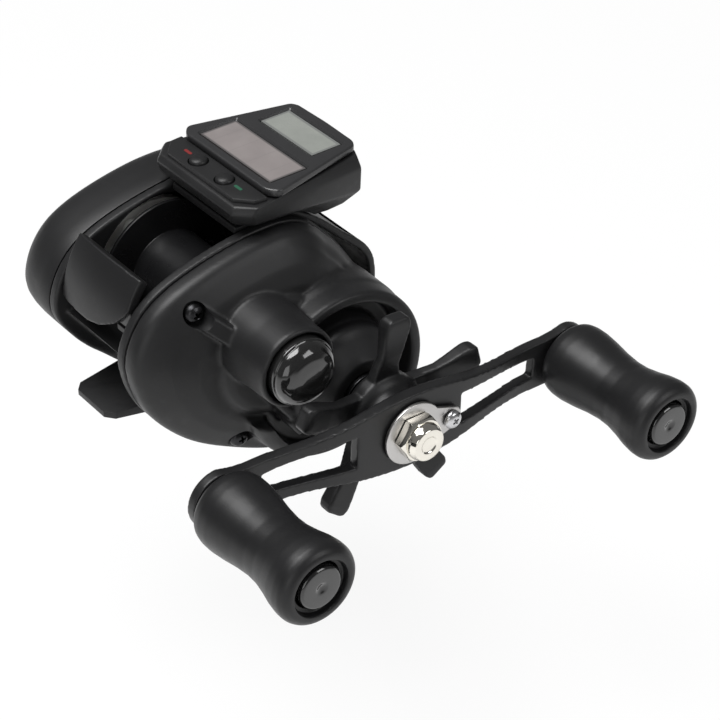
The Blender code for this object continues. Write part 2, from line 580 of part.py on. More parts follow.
# ============================================================================ line guide
def build_line_guide():
    half = PLATE_IN - GAP
    worm_radius, groove = 2.6, 0.7
    rings, turns, count = [], 2.0, 12
    length = 2 * half - 3
    steps = 24
    for step in range(steps + 1):
        share = step / steps
        x = -length / 2 + length * share
        ring = []
        for k in range(count):
            angle = math.tau * k / count
            depth = 0.0
            for hand in (1, -1):
                phase = (angle - hand * math.tau * turns * share) % math.tau
                off = min(phase, math.tau - phase) / 0.75
                depth = max(depth, 1 - off * off)
            edge = min(1.0, 6 * share, 6 * (1 - share))
            radius = worm_radius - groove * depth * edge
            ring.append((x, radius * math.cos(angle), radius * math.sin(angle)))
        rings.append(ring)
    worm = as_object("worm_shaft", loft(rings), WORM_AXIS, "steel")
    join(worm, rod(1.5, -14.6, -length / 2 + 0.5, 16), WORM_AXIS)
    join(worm, rod(1.5, length / 2 - 0.5, 18.8, 16), WORM_AXIS)
    for name, (y, z) in zip(("guide_rod_upper", "guide_rod_lower"), GUIDE_RODS):
        as_object(name, rod(GUIDE_ROD_RADIUS, -14.7, 14.7, 16, 0.2), (0, y, z), "steel")
    body = [(22.4, 37.0), (22.4, 48.4), (23.4, 49.6), (26.0, 49.6), (27.0, 48.4), (27.2, 39.0),
            (34.0, 34.4), (34.0, 24.4), (32.6, 23.2), (27.4, 23.2), (25.2, 34.0)]
    guide = as_object("line_guide", prism_x(body, -4.6, 4.6), kind="black_body")
    cut(guide, rod(worm_radius + GAP + 0.2, -10, 10, 18), WORM_AXIS)
    for y, z in GUIDE_RODS:
        cut(guide, rod(GUIDE_ROD_RADIUS + GAP, -10, 10, 16), (0, y, z))
    cut(guide, rod(3.3 + GAP, 20, 30, 20, axis="Y"), (0, 0, RING_Z))
    ring = turned([(-2.4, 2.6), (-2.4, 3.1), (-1.9, 3.3), (1.9, 3.3), (2.4, 3.1), (2.4, 2.6), (1.4, 2.1),
                   (-1.4, 2.1)], 28, "Y")
    as_object("guide_ring", ring, (0, RING_Y, RING_Z), "ceramic")
    # the pawl sits in front of the worm and reaches into its groove
    seat, tip = WORM_Y + worm_radius + GAP, WORM_Y + worm_radius + 0.1
    pawl = turned([(34.6, 0), (34.6, 1.4), (seat, 1.4), (tip, 0.5), (tip, 0)], 16, "Y")
    cut(guide, rod(1.4 + GAP, WORM_Y + 1, 40, 16, axis="Y"), (0, 0, WORM_Z))
    as_object("guide_pawl", pawl, (0, 0, WORM_Z), "brass")


RING_Y, RING_Z = 24.7, 45.2


# ============================================================================ handle
def crank_place(x=0.0, reach=0.0):
    """World place of a point on the tilted handle, reach millimetres along it."""
    return (x, CRANK_Y + reach * math.cos(CRANK_TILT), CRANK_Z + reach * math.sin(CRANK_TILT))


def arm_drop(reach):
    """How far the arm steps toward the reel at this distance from the shaft."""
    share = min(1.0, max(0.0, (abs(reach) - 12) / 26))
    return ARM_DROP * share * share * (3 - 2 * share)


def build_handle():
    """The double-ended handle arm with its long slots."""
    rings = []
    steps = 20
    for step in range(steps + 1):
        reach = (HANDLE_REACH + ARM_END_RADIUS - 0.1) * (2 * step / steps - 1)
        far = abs(reach)
        if far > HANDLE_REACH:
            half = math.sqrt(max(ARM_END_RADIUS ** 2 - (far - HANDLE_REACH) ** 2, 1.0))
        else:
            share = min(1.0, far / 30)
            swell = max(0.0, (far - 40) / (HANDLE_REACH - 40)) ** 2
            half = 9.4 - 3.4 * share * share * (3 - 2 * share) + (ARM_END_RADIUS - 6.0) * swell
        inner = ARM_X - arm_drop(reach)
        outer = inner + ARM_THICK - 0.4 * min(1.0, far / 30)
        ease = 0.7
        rings.append([(inner, reach, -half), (outer - ease, reach, -half),
                      (outer, reach, -half + ease), (outer, reach, half - ease),
                      (outer - ease, reach, half), (inner, reach, half)])
    arm = as_object("handle_arm", loft(rings), CRANK_AXIS, "black_metal", CRANK_TILT)
    arm_cut(arm, rod(3.0 + GAP, 40, 70, 18))
    for side in (-1, 1):
        slot = [(side * 14.5, -3.9), (side * 14.5, 3.9), (side * 37.5, 2.5), (side * 37.5, -2.5)]
        arm_cut(arm, prism_x(slot, 40, 70))
        arm_cut(arm, rod(2.0 + GAP, 40, 70, 16), (0, side * HANDLE_REACH, 0))
    arm_cut(arm, rod(1.2, 40, 70, 16), (0, RETAINER_SCREW_REACH, 0))
    return arm


def arm_cut(arm, tool_bm, offset=(0, 0, 0)):
    """A cut placed in the handle's own tilted frame."""
    moved(tool_bm, offset)
    bmesh.ops.rotate(tool_bm, verts=tool_bm.verts, matrix=Matrix.Rotation(CRANK_TILT, 3, "X"))
    cut(arm, tool_bm, CRANK_AXIS)


RETAINER_SCREW_REACH = 10.2


def build_handle_fittings():
    face = ARM_X + ARM_THICK + GAP
    # teardrop plate that keeps the nut from turning
    lobe = arc((0, 0), 7.6, 35, 325, 20) + arc((RETAINER_SCREW_REACH, 0), 2.9, -52, 52, 8)
    keeper = as_object("nut_retainer", prism_x(lobe, face, face + 0.9), CRANK_AXIS, "steel", CRANK_TILT)
    arm_cut(keeper, rod(3.0 + GAP, 40, 70, 18))
    arm_cut(keeper, rod(1.2, 40, 70, 16), (0, RETAINER_SCREW_REACH, 0))
    nut_start, nut_end = face + 0.9 + GAP, 62.0
    hexagon = arc((0, 0), 5.6, 0, 300, 5)
    nut = as_object("handle_nut", prism_x(hexagon, nut_start, nut_end - 2.2), CRANK_AXIS, "chrome",
                    CRANK_TILT)
    join(nut, turned([(nut_end - 3, 0), (nut_end - 3, 4.6), (nut_end - 1.2, 4.4), (nut_end, 3.9),
                      (nut_end, 0)], 32), CRANK_AXIS)
    cut(nut, rod(3.0 + GAP, 50, 59.2, 18), CRANK_AXIS)
    screw = turned([(face - 2.2, 0), (face - 2.2, 0.9), (face + 1.2, 0.9), (face + 1.2, 2.2),
                    (face + 1.9, 2.0), (face + 2.3, 1.2), (face + 2.4, 0)], 20)
    place = crank_place(0, RETAINER_SCREW_REACH)
    screw_object = as_object("retainer_screw", screw, place, "steel", CRANK_TILT)
    for width, height in ((0.6, 2.4), (2.4, 0.6)):
        cut(screw_object, box(face + 1.7, face + 4, -width / 2, width / 2, -height / 2, height / 2), place)


def build_knobs():
    """Two waisted grips, each turning on a spindle riveted into the arm's end."""
    inner_face = ARM_X - ARM_DROP
    outer_face = inner_face + ARM_THICK
    for name, side in (("rear", -1), ("front", 1)):
        place = crank_place(0, side * HANDLE_REACH)
        start, end = KNOB_START, KNOB_END
        profile = [(start, 2.5), (start, 7.6), (start + 1.2, 8.7), (start + 4.0, 9.1), (start + 9.0, 8.7),
                   (start + 17.0, 7.7), (start + 24.0, 8.6), (start + 29.0, 9.6), (start + 31.5, 9.6),
                   (end - 0.6, 8.6), (end, 7.6), (end, 6.6), (end - 1.6, 6.3), (end - 1.6, 5.4),
                   (end - 4.2, 5.4), (end - 4.2, 2.5)]
        as_object("knob_" + name, turned(profile, 16), place, "soft_grip")
        cap = [(end - 3.6, 0), (end - 3.6, 5.1), (end - 0.5, 5.1), (end, 4.6), (end, 0.9), (end - 0.5, 0)]
        as_object("knob_cap_" + name, turned(cap, 18), place, "black_gloss")
        spindle = [(inner_face - 1.2, 0), (inner_face - 1.2, 3.4), (inner_face - GAP, 3.4),
                   (inner_face - GAP, 2.0), (end - 5.2, 2.0), (end - 4.6, 1.4), (end - 4.6, 0)]
        as_object("knob_spindle_" + name, turned(spindle, 16), place, "steel")


def build_star_drag():
    """The five-armed drag wheel: a hub with a bevel, and paddle arms swept toward the handle."""
    hub = [(42.4, 3.4), (42.4, 8.2), (43.4, 9.2), (46.6, 9.2), (48.4, 7.4), (50.6, 6.6), (50.6, 3.4)]
    star = as_object("star_drag", turned(hub, 24), CRANK_AXIS, "black_metal")
    for i in range(STAR_ARMS):
        angle = STAR_ANGLE + math.tau * i / STAR_ARMS
        rings = []
        for reach, half, inner, outer in ((7.0, 3.6, 43.4, 46.6), (11.0, 2.9, 43.8, 46.8),
                                          (15.0, 2.8, 45.2, 48.0), (21.0, 3.2, 45.6, 49.2),
                                          (24.6, 3.0, 45.8, 49.7), (STAR_TIP, 2.0, 46.2, 49.3)):
            corners = [(inner, reach, -half), (outer, reach, -half + 0.5), (outer, reach, half - 0.5),
                       (inner, reach, half)]
            rings.append(corners)
        arm = loft(rings)
        bmesh.ops.rotate(arm, verts=arm.verts, matrix=Matrix.Rotation(angle, 3, "X"))
        join(star, arm, CRANK_AXIS)


def build_cast_control():
    """The glossy cap that sets the pressure on the spool shaft's end."""
    profile = [(36.8, 6.4), (36.8, 7.6), (37.5, 8.0), (41.4, 8.0), (42.4, 7.4), (43.8, 6.2), (44.8, 3.8),
               (45.1, 0), (41.2, 0), (41.2, 6.4)]
    as_object("cast_control_knob", turned(profile, 24), SPOOL_AXIS, "black_gloss")
    as_object("cast_control_shim", rod(2.0, 40.1, 40.9, 16), SPOOL_AXIS, "brass")


# ============================================================================ line counter
NOSE_CORNER = 1.6                         # corner of the counter's narrow front end
UNDERSIDE_DROP = 4.5                      # how much deeper the counter is at its front than at its rear


def counter_plan(half_rear, half_front, rear, front, corner):
    """Plan of the counter: a tapered octagon, wide at the angler's end."""
    return [(-half_rear + corner, rear), (half_rear - corner, rear), (half_rear, rear + corner),
            (half_front + 1.2, front - NOSE_CORNER), (half_front - NOSE_CORNER, front - 0.3),
            (0, front), (-half_front + NOSE_CORNER, front - 0.3), (-half_front - 1.2, front - NOSE_CORNER),
            (-half_rear, rear + corner)]


def build_counter():
    sections = [(57.0, 12.8, 11.5, 6.0, 29.5, 2.0), (60.5, 14.5, 12.6, 3.6, 33.6, 2.6),
                (62.6, 17.6, 13.0, 1.6, 37.9, 3.4), (65.2, 17.9, 13.2, 1.0, 38.0, 3.6),
                (RIM_TOP, 17.9, 12.0, 2.1, 37.6, 3.8)]
    sinks = (0.5, 0.95, 1.0, 0.3, 0.0)    # how far each section follows the sloped underside
    rings = [[(x, y, z - sink * UNDERSIDE_DROP * min(1, max(0, (y - 8) / 24)))
              for x, y in counter_plan(*plan)] for (z, *plan), sink in zip(sections, sinks)]
    housing = as_object("counter_housing", loft(rings), kind="black_body")
    deck = [(-12.45, 2.8), (12.45, 2.8), (16.2, 6.2), (16.4, 9.3), (-16.4, 9.3), (-16.2, 6.2)]
    join(housing, prism_z(deck, RIM_TOP - 1, DECK_TOP))
    # the underside follows the top of the reel's body
    body = inset_loop(smooth_loop(PALM_OUTLINE), -COWL_PROUD - GAP)
    cut(housing, prism_x(body, -30, 30))
    # the pocket for the electronics, and the button holes
    pocket = [(-11.8, 4.6), (11.8, 4.6), (15.6, 8.2), (12.6, 33.6), (-12.6, 33.6), (-15.6, 8.2)]
    cut(housing, prism_z(pocket, 61.2, RIM_TOP - 0.4))
    opening = [(-14.8, 10.6), (14.8, 10.6), (12.2, 33.6), (-12.2, 33.6)]
    cut(housing, prism_z(opening, 64, RIM_TOP + 1))
    for side in (-1, 1):
        cut(housing, rod(BUTTON_RADIUS + GAP, 60, 70, 18, axis="Z"), (side * BUTTON_X, BUTTON_Y, 0))
    bezel_plan = [(-13.3, 9.6), (13.3, 9.6), (15.2, 9.6), (17.8, 11.6), (11.9, 36.2), (10.2, 37.2), (0, 37.5),
                  (-10.2, 37.2), (-11.9, 36.2), (-17.8, 11.6), (-15.2, 9.6)]
    bezel = as_object("counter_bezel", prism_z(bezel_plan, RIM_TOP + GAP, BEZEL_TOP), kind="bezel_grey")
    for name, kind, size, y in (("solar_panel", "solar_glass", SOLAR_SIZE, SOLAR_Y),
                                ("counter_screen", "screen_glass", SCREEN_SIZE, SCREEN_Y)):
        width, depth = size
        cut(bezel, box(-width / 2, width / 2, y - depth / 2, y + depth / 2, 60, 80))
        width, depth = width - 2 * GAP, depth - 2 * GAP
        pane = box(-width / 2, width / 2, y - depth / 2, y + depth / 2, RIM_TOP + 0.5, BEZEL_TOP - 0.3)
        as_object(name, pane, kind=kind, flat=True)
    for name, side in (("button_mode", -1), ("button_reset", 1)):
        dome = [(66.7, 0), (66.7, BUTTON_RADIUS), (67.9, BUTTON_RADIUS), (68.5, 1.4), (68.7, 0)]
        cap = turned(dome, 16, "Z")
        as_object(name, cap, (side * BUTTON_X, BUTTON_Y, 0), "black_gloss")
    board = [(-11.2, 5.2), (11.2, 5.2), (14.8, 8.6), (12.0, 33.0), (-12.0, 33.0), (-14.8, 8.6)]
    as_object("circuit_board", prism_z(board, 64.9, 65.9), kind="board_green", flat=True)
    as_object("coin_cell", rod(10.0, 61.5, 64.5, 20, 0.3, "Z"), (0, 19.0, 0), "steel")


def build_assembly():
    build_frame()
    build_foot()
    build_front_cowl()
    build_palm_cover()
    build_brake()
    build_gear_cover()
    build_cover_screws()
    build_gear_train()
    build_drive_shaft()
    build_spool()
    build_clutch()
    build_line_guide()
    build_handle()
    build_handle_fittings()
    build_knobs()
    build_star_drag()
    build_cast_control()
    build_counter()


for leftover in list(bpy.data.objects):
    bpy.data.objects.remove(leftover)
build_assembly()
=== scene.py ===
# %% [markdown]
# # A baitcasting reel with a line counter
# The reel sits on a rod by its foot. Its handle turns a gear train, the spool holds the line, and a
# counter on top measures how much line has gone out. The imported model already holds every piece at
# its real size. These cells give each visible piece its fine surface and its finish.

# %% Load the reel
import json
import math

import bmesh
import bpy
from mathutils import Matrix, Vector


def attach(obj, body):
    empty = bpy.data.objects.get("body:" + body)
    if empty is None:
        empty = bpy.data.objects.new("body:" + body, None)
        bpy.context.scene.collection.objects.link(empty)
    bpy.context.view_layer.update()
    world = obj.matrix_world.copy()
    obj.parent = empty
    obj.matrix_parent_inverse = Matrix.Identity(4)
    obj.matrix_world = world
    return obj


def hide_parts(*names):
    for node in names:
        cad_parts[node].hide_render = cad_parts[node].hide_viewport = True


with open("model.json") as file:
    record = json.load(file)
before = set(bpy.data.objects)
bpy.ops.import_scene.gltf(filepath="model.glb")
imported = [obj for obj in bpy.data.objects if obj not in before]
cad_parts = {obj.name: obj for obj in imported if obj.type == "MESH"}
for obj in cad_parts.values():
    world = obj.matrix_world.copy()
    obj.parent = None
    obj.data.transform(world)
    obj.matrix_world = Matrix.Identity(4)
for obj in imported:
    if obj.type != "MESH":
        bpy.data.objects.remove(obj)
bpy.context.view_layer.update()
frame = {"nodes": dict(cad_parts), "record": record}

# %% [markdown]
# Every length below is in millimetres on the maker's drawing, where +X points to the handle, +Y to
# the rod tip and +Z up. The drawing measures height from a line 18.2 mm under the foot, so a shape
# drops by that much when it is turned into metres.

# %% Drawing sizes
MM = 0.001
FOOT_HEIGHT = 18.2
SPOOL = (0.0, 39.6)                       # the axes, as (Y, Z)
CRANK = (18.1, 24.0)
HANDLE_TILT = math.radians(-2.2)
KNOB_REACH = 47.5
PLATE = 15.0                              # outer face of each side plate
PALM_SIDE = [(-28.5, 37), (-27, 45), (-21, 52), (-10, 56.5), (6, 59.2), (18.4, 57.9), (27, 50.4),
             (34, 40.4), (38.4, 30), (36, 19.5), (26, 14), (8, 12.5), (-8, 14.4), (-17.6, 21.9),
             (-24.2, 29)]
GEAR_SIDE = [(-28.5, 37), (-27, 45), (-21, 52), (-10, 56.5), (6, 59.2), (18.2, 57.8), (26.8, 50.2),
             (33.8, 40.2), (39.8, 29), (40, 17), (33, 6.5), (21, 0.9), (9, 1.6), (-4, 7.4),
             (-16, 15.3), (-25, 26)]
print("side outlines:", len(PALM_SIDE), "and", len(GEAR_SIDE), "points")

# %% [markdown]
# ## Curves and shells
# The reel's outlines are soft curves, so one helper runs a smooth closed curve through a few points.
# Another stacks such loops into a closed shell, and a third turns a profile round an axis, which is
# how knobs, caps and the spool are made on a lathe.

# %% Loops
def curved(points, samples=10):
    """A closed smooth curve through the points."""
    count = len(points)
    loop = []
    for i in range(count):
        a, b, c, d = (Vector(points[(i + k) % count]) for k in (-1, 0, 1, 2))
        for step in range(samples):
            t = step / samples
            loop.append(tuple(0.5 * (2 * b + (c - a) * t + (2 * a - 5 * b + 4 * c - d) * t ** 2
                                     + (3 * b - a - 3 * c + d) * t ** 3)))
    return loop


def offset(loop, distance):
    """The loop moved inward along its own normals."""
    count = len(loop)
    area = sum(loop[i][0] * loop[(i + 1) % count][1] - loop[(i + 1) % count][0] * loop[i][1]
               for i in range(count))
    side = 1 if area > 0 else -1
    result = []
    for i in range(count):
        along = (Vector(loop[(i + 1) % count]) - Vector(loop[i - 1])).normalized()
        result.append((loop[i][0] - along.y * side * distance, loop[i][1] + along.x * side * distance))
    return result


def shrunk(loop, share, centre):
    return [(centre[0] + (a - centre[0]) * share, centre[1] + (b - centre[1]) * share) for a, b in loop]


def arc(centre, radius, start, end, steps=24):
    return [(centre[0] + radius * math.cos(math.radians(start + (end - start) * i / steps)),
             centre[1] + radius * math.sin(math.radians(start + (end - start) * i / steps)))
            for i in range(steps + 1)]


def rounded(width, height, radius, steps=8, centre=(0, 0)):
    loop = []
    for sx, sy, start in ((1, 1, 0), (-1, 1, 90), (-1, -1, 180), (1, -1, 270)):
        middle = (centre[0] + sx * (width / 2 - radius), centre[1] + sy * (height / 2 - radius))
        loop += arc(middle, radius, start, start + 90, steps)
    return loop


def band(centre, inner, outer, start, end, steps=40):
    """A piece of a ring, as a closed loop."""
    return arc(centre, outer, start, end, steps) + arc(centre, inner, end, start, steps)


def softened(profile, radius=0.35, steps=4):
    """Rounds the profile's corners away from the axis."""
    result = []
    count = len(profile)
    for i, point in enumerate(profile):
        here, before, after = Vector(point), Vector(profile[i - 1]), Vector(profile[(i + 1) % count])
        if here.y < 1e-6 or (here - before).length < 0.2 or (after - here).length < 0.2:
            result.append(point)
            continue
        room = min(radius, (here - before).length * 0.4, (after - here).length * 0.4)
        start, end = here + (before - here).normalized() * room, here + (after - here).normalized() * room
        for step in range(steps + 1):
            t = step / steps
            result.append(tuple((1 - t) ** 2 * start + 2 * t * (1 - t) * here + t * t * end))
    return result


# %% Shells
def shell(rings):
    """A closed bmesh through rings of equally many points."""
    bm = bmesh.new()
    layers = [[bm.verts.new(point) for point in ring] for ring in rings]
    for lower, upper in zip(layers, layers[1:]):
        for i in range(len(lower)):
            j = (i + 1) % len(lower)
            bm.faces.new((lower[i], lower[j], upper[j], upper[i]))
    bm.faces.new(layers[0])
    bm.faces.new(layers[-1])
    bmesh.ops.recalc_face_normals(bm, faces=bm.faces)
    return bm


def at_x(loop, x):
    return [(x, a, b) for a, b in loop]


def at_z(loop, z):
    return [(a, b, z) for a, b in loop]


def slab(loop, start, end, axis="X"):
    """The loop pushed through from one height to another along an axis."""
    layer = {"X": at_x, "Z": at_z, "Y": lambda points, y: [(a, y, b) for a, b in points]}[axis]
    return shell([layer(loop, start), layer(loop, end)])


def lathe(profile, centre=(0, 0, 0), steps=96, axis="X"):
    """A profile of (distance along, radius) turned round an axis through the centre."""
    bm = bmesh.new()
    verts = [bm.verts.new((along, 0, radius)) for along, radius in profile]
    edges = [bm.edges.new((verts[i], verts[(i + 1) % len(verts)])) for i in range(len(verts))]
    bmesh.ops.spin(bm, geom=verts + edges, cent=(0, 0, 0), axis=(1, 0, 0), angle=math.tau,
                   steps=steps, use_merge=True, use_duplicate=False)
    bmesh.ops.remove_doubles(bm, verts=bm.verts, dist=1e-4)
    bmesh.ops.dissolve_degenerate(bm, edges=bm.edges, dist=1e-5)
    bmesh.ops.delete(bm, geom=[edge for edge in bm.edges if not edge.link_faces], context="EDGES")
    bmesh.ops.recalc_face_normals(bm, faces=bm.faces)
    if axis == "Z":
        bmesh.ops.rotate(bm, verts=bm.verts, matrix=Matrix.Rotation(-math.pi / 2, 3, "Y"))
    if axis == "Y":
        bmesh.ops.rotate(bm, verts=bm.verts, matrix=Matrix.Rotation(math.pi / 2, 3, "Z"))
    bmesh.ops.translate(bm, verts=bm.verts, vec=centre)
    return bm


def on_axis(place):
    return (0, place[0], place[1])


def rod(radius, start, end, place, steps=64):
    return lathe([(start, 0), (start, radius), (end, radius), (end, 0)], on_axis(place), steps)


def together(*shells):
    """Several shells as one mesh; they may cross, and a remesh makes them one skin."""
    whole = bmesh.new()
    for piece in shells:
        mesh = bpy.data.meshes.new("shell")
        piece.to_mesh(mesh)
        piece.free()
        whole.from_mesh(mesh)
        bpy.data.meshes.remove(mesh)
    return whole


# %% [markdown]
# ## Making a piece
# A moulded cover has no sharp inside corners, because plastic has to flow and the tool has to let go.
# A voxel remesh joins crossing shells into one skin, and a few rounds of smoothing leave a small
# fillet wherever they met. Bores that must stay crisp are cut afterwards.

# %% Piece helpers
PIECES = {}


def as_piece(name, bm):
    """A millimetre bmesh on the drawing becomes an object in metres at its own place."""
    bmesh.ops.translate(bm, verts=bm.verts, vec=(0, 0, -FOOT_HEIGHT))
    bmesh.ops.scale(bm, verts=bm.verts, vec=(MM, MM, MM))
    mesh = bpy.data.meshes.new(name)
    bm.to_mesh(mesh)
    bm.free()
    piece = bpy.data.objects.new(name, mesh)
    bpy.context.scene.collection.objects.link(piece)
    return piece


def settle(piece):
    """Applies the piece's modifiers to its mesh."""
    bpy.context.view_layer.update()
    evaluated = piece.evaluated_get(bpy.context.evaluated_depsgraph_get())
    mesh = bpy.data.meshes.new_from_object(evaluated)
    piece.modifiers.clear()
    old = piece.data
    piece.data = mesh
    bpy.data.meshes.remove(old)
    mesh.name = piece.name
    return piece


def modify(piece, kind, **settings):
    modifier = piece.modifiers.new(kind.lower(), kind)
    for key, value in settings.items():
        setattr(modifier, key, value)
    return piece


def combined(piece, tool, operation):
    """Cuts another object out of the piece, or joins it on, and removes that object."""
    settle(modify(piece, "BOOLEAN", operation=operation, solver="EXACT", object=tool))
    mesh = tool.data
    bpy.data.objects.remove(tool)
    bpy.data.meshes.remove(mesh)
    return piece


def carve(piece, bm, operation="DIFFERENCE"):
    """Cuts a shape out of the piece, or joins one on."""
    return combined(piece, as_piece("tool", bm), operation)


def mould(piece, voxel=0.45, rounds=4):
    """One skin with small fillets."""
    modify(piece, "REMESH", mode="VOXEL", voxel_size=voxel * MM, use_smooth_shade=True)
    return settle(modify(piece, "SMOOTH", factor=0.5, iterations=rounds))


def eased(piece, width, segments=3, angle=30):
    """Rounds the piece's sharp edges."""
    return settle(modify(piece, "BEVEL", width=width * MM, segments=segments, limit_method="ANGLE",
                         angle_limit=math.radians(angle), harden_normals=False))


def place_on(piece, body, slot, material, *nodes, sharp=40):
    """Finishes a piece: its shading, its material, what it rides on and what it stands for."""
    piece.data.shade_smooth()
    if sharp:
        piece.data.set_sharp_from_angle(angle=math.radians(sharp))
    piece.data.materials.clear()
    piece.data.materials.append(material)
    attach(piece, body)
    if nodes:
        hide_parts(*nodes)
    PIECES[piece.name] = len(piece.data.polygons)
    return piece


# %% [markdown]
# ## Shader maths
# A finish is easier to read as sums than as wires. The small class below wraps a socket, so that
# `1 - mask` or `grain * 0.2` adds the Math node it needs. Any other node comes from `Finish.add`.

# %% Wires and finishes
class Wire:
    """A socket that adds Math nodes when it is used in a sum."""

    def __init__(self, finish, socket):
        self.finish, self.socket = finish, socket

    def sum_with(self, operation, first, second):
        return self.finish.add("ShaderNodeMath", {"operation": operation}, {0: first, 1: second})

    def __add__(self, other):
        return self.sum_with("ADD", self, other)

    def __radd__(self, other):
        return self.sum_with("ADD", other, self)

    def __sub__(self, other):
        return self.sum_with("SUBTRACT", self, other)

    def __rsub__(self, other):
        return self.sum_with("SUBTRACT", other, self)

    def __mul__(self, other):
        return self.sum_with("MULTIPLY", self, other)

    def __rmul__(self, other):
        return self.sum_with("MULTIPLY", other, self)

    def above(self, edge, width):
        """0 below the edge and 1 above it, over a soft width."""
        return self.finish.add("ShaderNodeMapRange", {"interpolation_type": "SMOOTHSTEP"},
                               {"Value": self, "From Min": edge - width / 2, "From Max": edge + width / 2})


class Finish:
    """A procedural material on Object coordinates."""

    def __init__(self, name, metallic=0.0):
        self.material = bpy.data.materials.new(name)
        self.material.use_nodes = True
        self.tree = self.material.node_tree
        self.shader = self.tree.nodes["Principled BSDF"]
        self.shader.inputs["Metallic"].default_value = metallic
        self.here = self.add("ShaderNodeTexCoord", output="Object")

    def add(self, kind, settings=None, sockets=None, output=0):
        node = self.tree.nodes.new(kind)
        for key, value in (settings or {}).items():
            setattr(node, key, value)
        for key, value in (sockets or {}).items():
            if isinstance(value, Wire):
                self.tree.links.new(value.socket, node.inputs[key])
            else:
                node.inputs[key].default_value = value
        return Wire(self, node.outputs[output])

    def speckle(self, size, detail=3.0, roughness=0.55, where=None):
        """Noise whose patches are about size millimetres wide."""
        return self.add("ShaderNodeTexNoise", {},
                        {"Vector": where or self.here, "Scale": 1000.0 / size, "Detail": detail,
                         "Roughness": roughness}, "Fac")

    def stretched(self, across, along, axis):
        """Noise drawn out along one axis, as a brush or a lathe leaves it."""
        scale = [1000.0 / across] * 3
        scale[axis] = 1000.0 / along
        where = self.add("ShaderNodeMapping", {}, {"Vector": self.here, "Scale": scale})
        return self.add("ShaderNodeTexNoise", {}, {"Vector": where, "Scale": 1.0, "Detail": 3.0}, "Fac")

    def blend(self, mask, low, high):
        """A colour that runs from low to high with the mask."""
        return self.add("ShaderNodeMix", {"data_type": "RGBA"},
                        {"Factor": mask, 6: low if isinstance(low, Wire) else (*low, 1),
                         7: high if isinstance(high, Wire) else (*high, 1)}, 2)

    def parts(self):
        """The three coordinates of the point, in metres."""
        node = self.add("ShaderNodeSeparateXYZ", {}, {0: self.here}).socket.node
        return [Wire(self, node.outputs[i]) for i in range(3)]

    def bump(self, height, depth, strength=1.0, under=None):
        """Raises the surface by up to depth millimetres where height is 1."""
        sockets = {"Height": height, "Distance": depth * MM, "Strength": strength}
        if under:
            sockets["Normal"] = under
        return self.add("ShaderNodeBump", {}, sockets)

    def wear(self, colour=None, roughness=None, normal=None):
        for name, value in (("Base Color", colour), ("Roughness", roughness), ("Normal", normal)):
            if isinstance(value, Wire):
                self.tree.links.new(value.socket, self.shader.inputs[name])
            elif value is not None:
                self.shader.inputs[name].default_value = (*value, 1) if name == "Base Color" else value
        return self.material


print("helpers ready")

# %% [markdown]
# ## Moulded and painted blacks
# Nearly all of the reel is black, so its finishes differ in grain and gloss, not in colour. The body
# is a fibre-filled nylon with a fine spark-eroded grain. Handling polishes it in patches and leaves
# a grey bloom, which is a broad, soft noise on roughness and colour.

# %% Black finishes
def moulded(name, tone, gloss, grain=0.35, depth=0.012, bloom=0.35):
    finish = Finish(name)
    finish.shader.inputs["Specular IOR Level"].default_value = 0.3
    fine = finish.speckle(grain, 4.0)
    broad = finish.speckle(14.0, 3.0)
    rubbed = finish.speckle(5.0, 5.0, 0.65).above(0.62, 0.2)
    colour = finish.blend(broad * 0.7 + fine * 0.3, [c * (1 - bloom) for c in tone],
                          [c * (1 + bloom) for c in tone])
    colour = finish.blend(rubbed * 0.35, colour, [c * 1.7 + 0.002 for c in tone])
    normal = finish.bump(fine, depth, 0.6)
    return finish.wear(colour, gloss + (broad - 0.5) * 0.16 + (fine - 0.5) * 0.12 - rubbed * 0.07, normal)


BODY_BLACK = moulded("body_black", (0.0100, 0.0100, 0.0105), 0.46)
COUNTER_BLACK = moulded("counter_black", (0.0115, 0.0115, 0.012), 0.40, 0.3)
GRIP_BLACK = moulded("grip_black", (0.0085, 0.0085, 0.009), 0.40, 0.5, 0.008, 0.25)
COVER_BLACK = moulded("cover_black", (0.0095, 0.0095, 0.010), 0.44)


def enamelled(name, tone, gloss):
    """Baked paint on metal: orange-peel ripple, hairline scratches and polished patches."""
    finish = Finish(name, 0.15)
    finish.shader.inputs["Specular IOR Level"].default_value = 0.35
    peel = finish.speckle(0.9, 2.0)
    broad = finish.speckle(9.0)
    scratch = finish.stretched(0.12, 9.0, 1).above(0.68, 0.05)
    colour = finish.blend(broad, [c * 0.75 for c in tone], [c * 1.3 for c in tone])
    colour = finish.blend(scratch * 0.2, colour, (0.06, 0.06, 0.06))
    return finish.wear(colour, gloss + (broad - 0.5) * 0.15 + scratch * 0.12,
                       finish.bump(peel, 0.01, 0.4))


ARM_BLACK = enamelled("arm_black", (0.012, 0.012, 0.0125), 0.36)
STAR_BLACK = enamelled("star_black", (0.009, 0.009, 0.0095), 0.42)
FOOT_BLACK = enamelled("foot_black", (0.010, 0.010, 0.0105), 0.45)
SPOOL_BLACK = enamelled("spool_black", (0.007, 0.007, 0.0075), 0.28)


def polished_black(name, gloss=0.07):
    finish = Finish(name)
    broad = finish.speckle(6.0)
    smear = finish.stretched(0.3, 5.0, 2)
    finish.shader.inputs["Coat Weight"].default_value = 0.5
    finish.shader.inputs["Coat Roughness"].default_value = 0.04
    colour = finish.blend(broad, (0.005, 0.005, 0.005), (0.012, 0.012, 0.012))
    return finish.wear(colour, gloss + broad * 0.05 + smear * 0.04, finish.bump(smear, 0.002, 0.2))


CAP_BLACK = polished_black("cap_black")
BUTTON_BLACK = moulded("button_black", (0.009, 0.009, 0.0095), 0.42, 0.3, 0.004)
RING_CERAMIC = polished_black("ring_ceramic", 0.1)
print("black finishes ready")

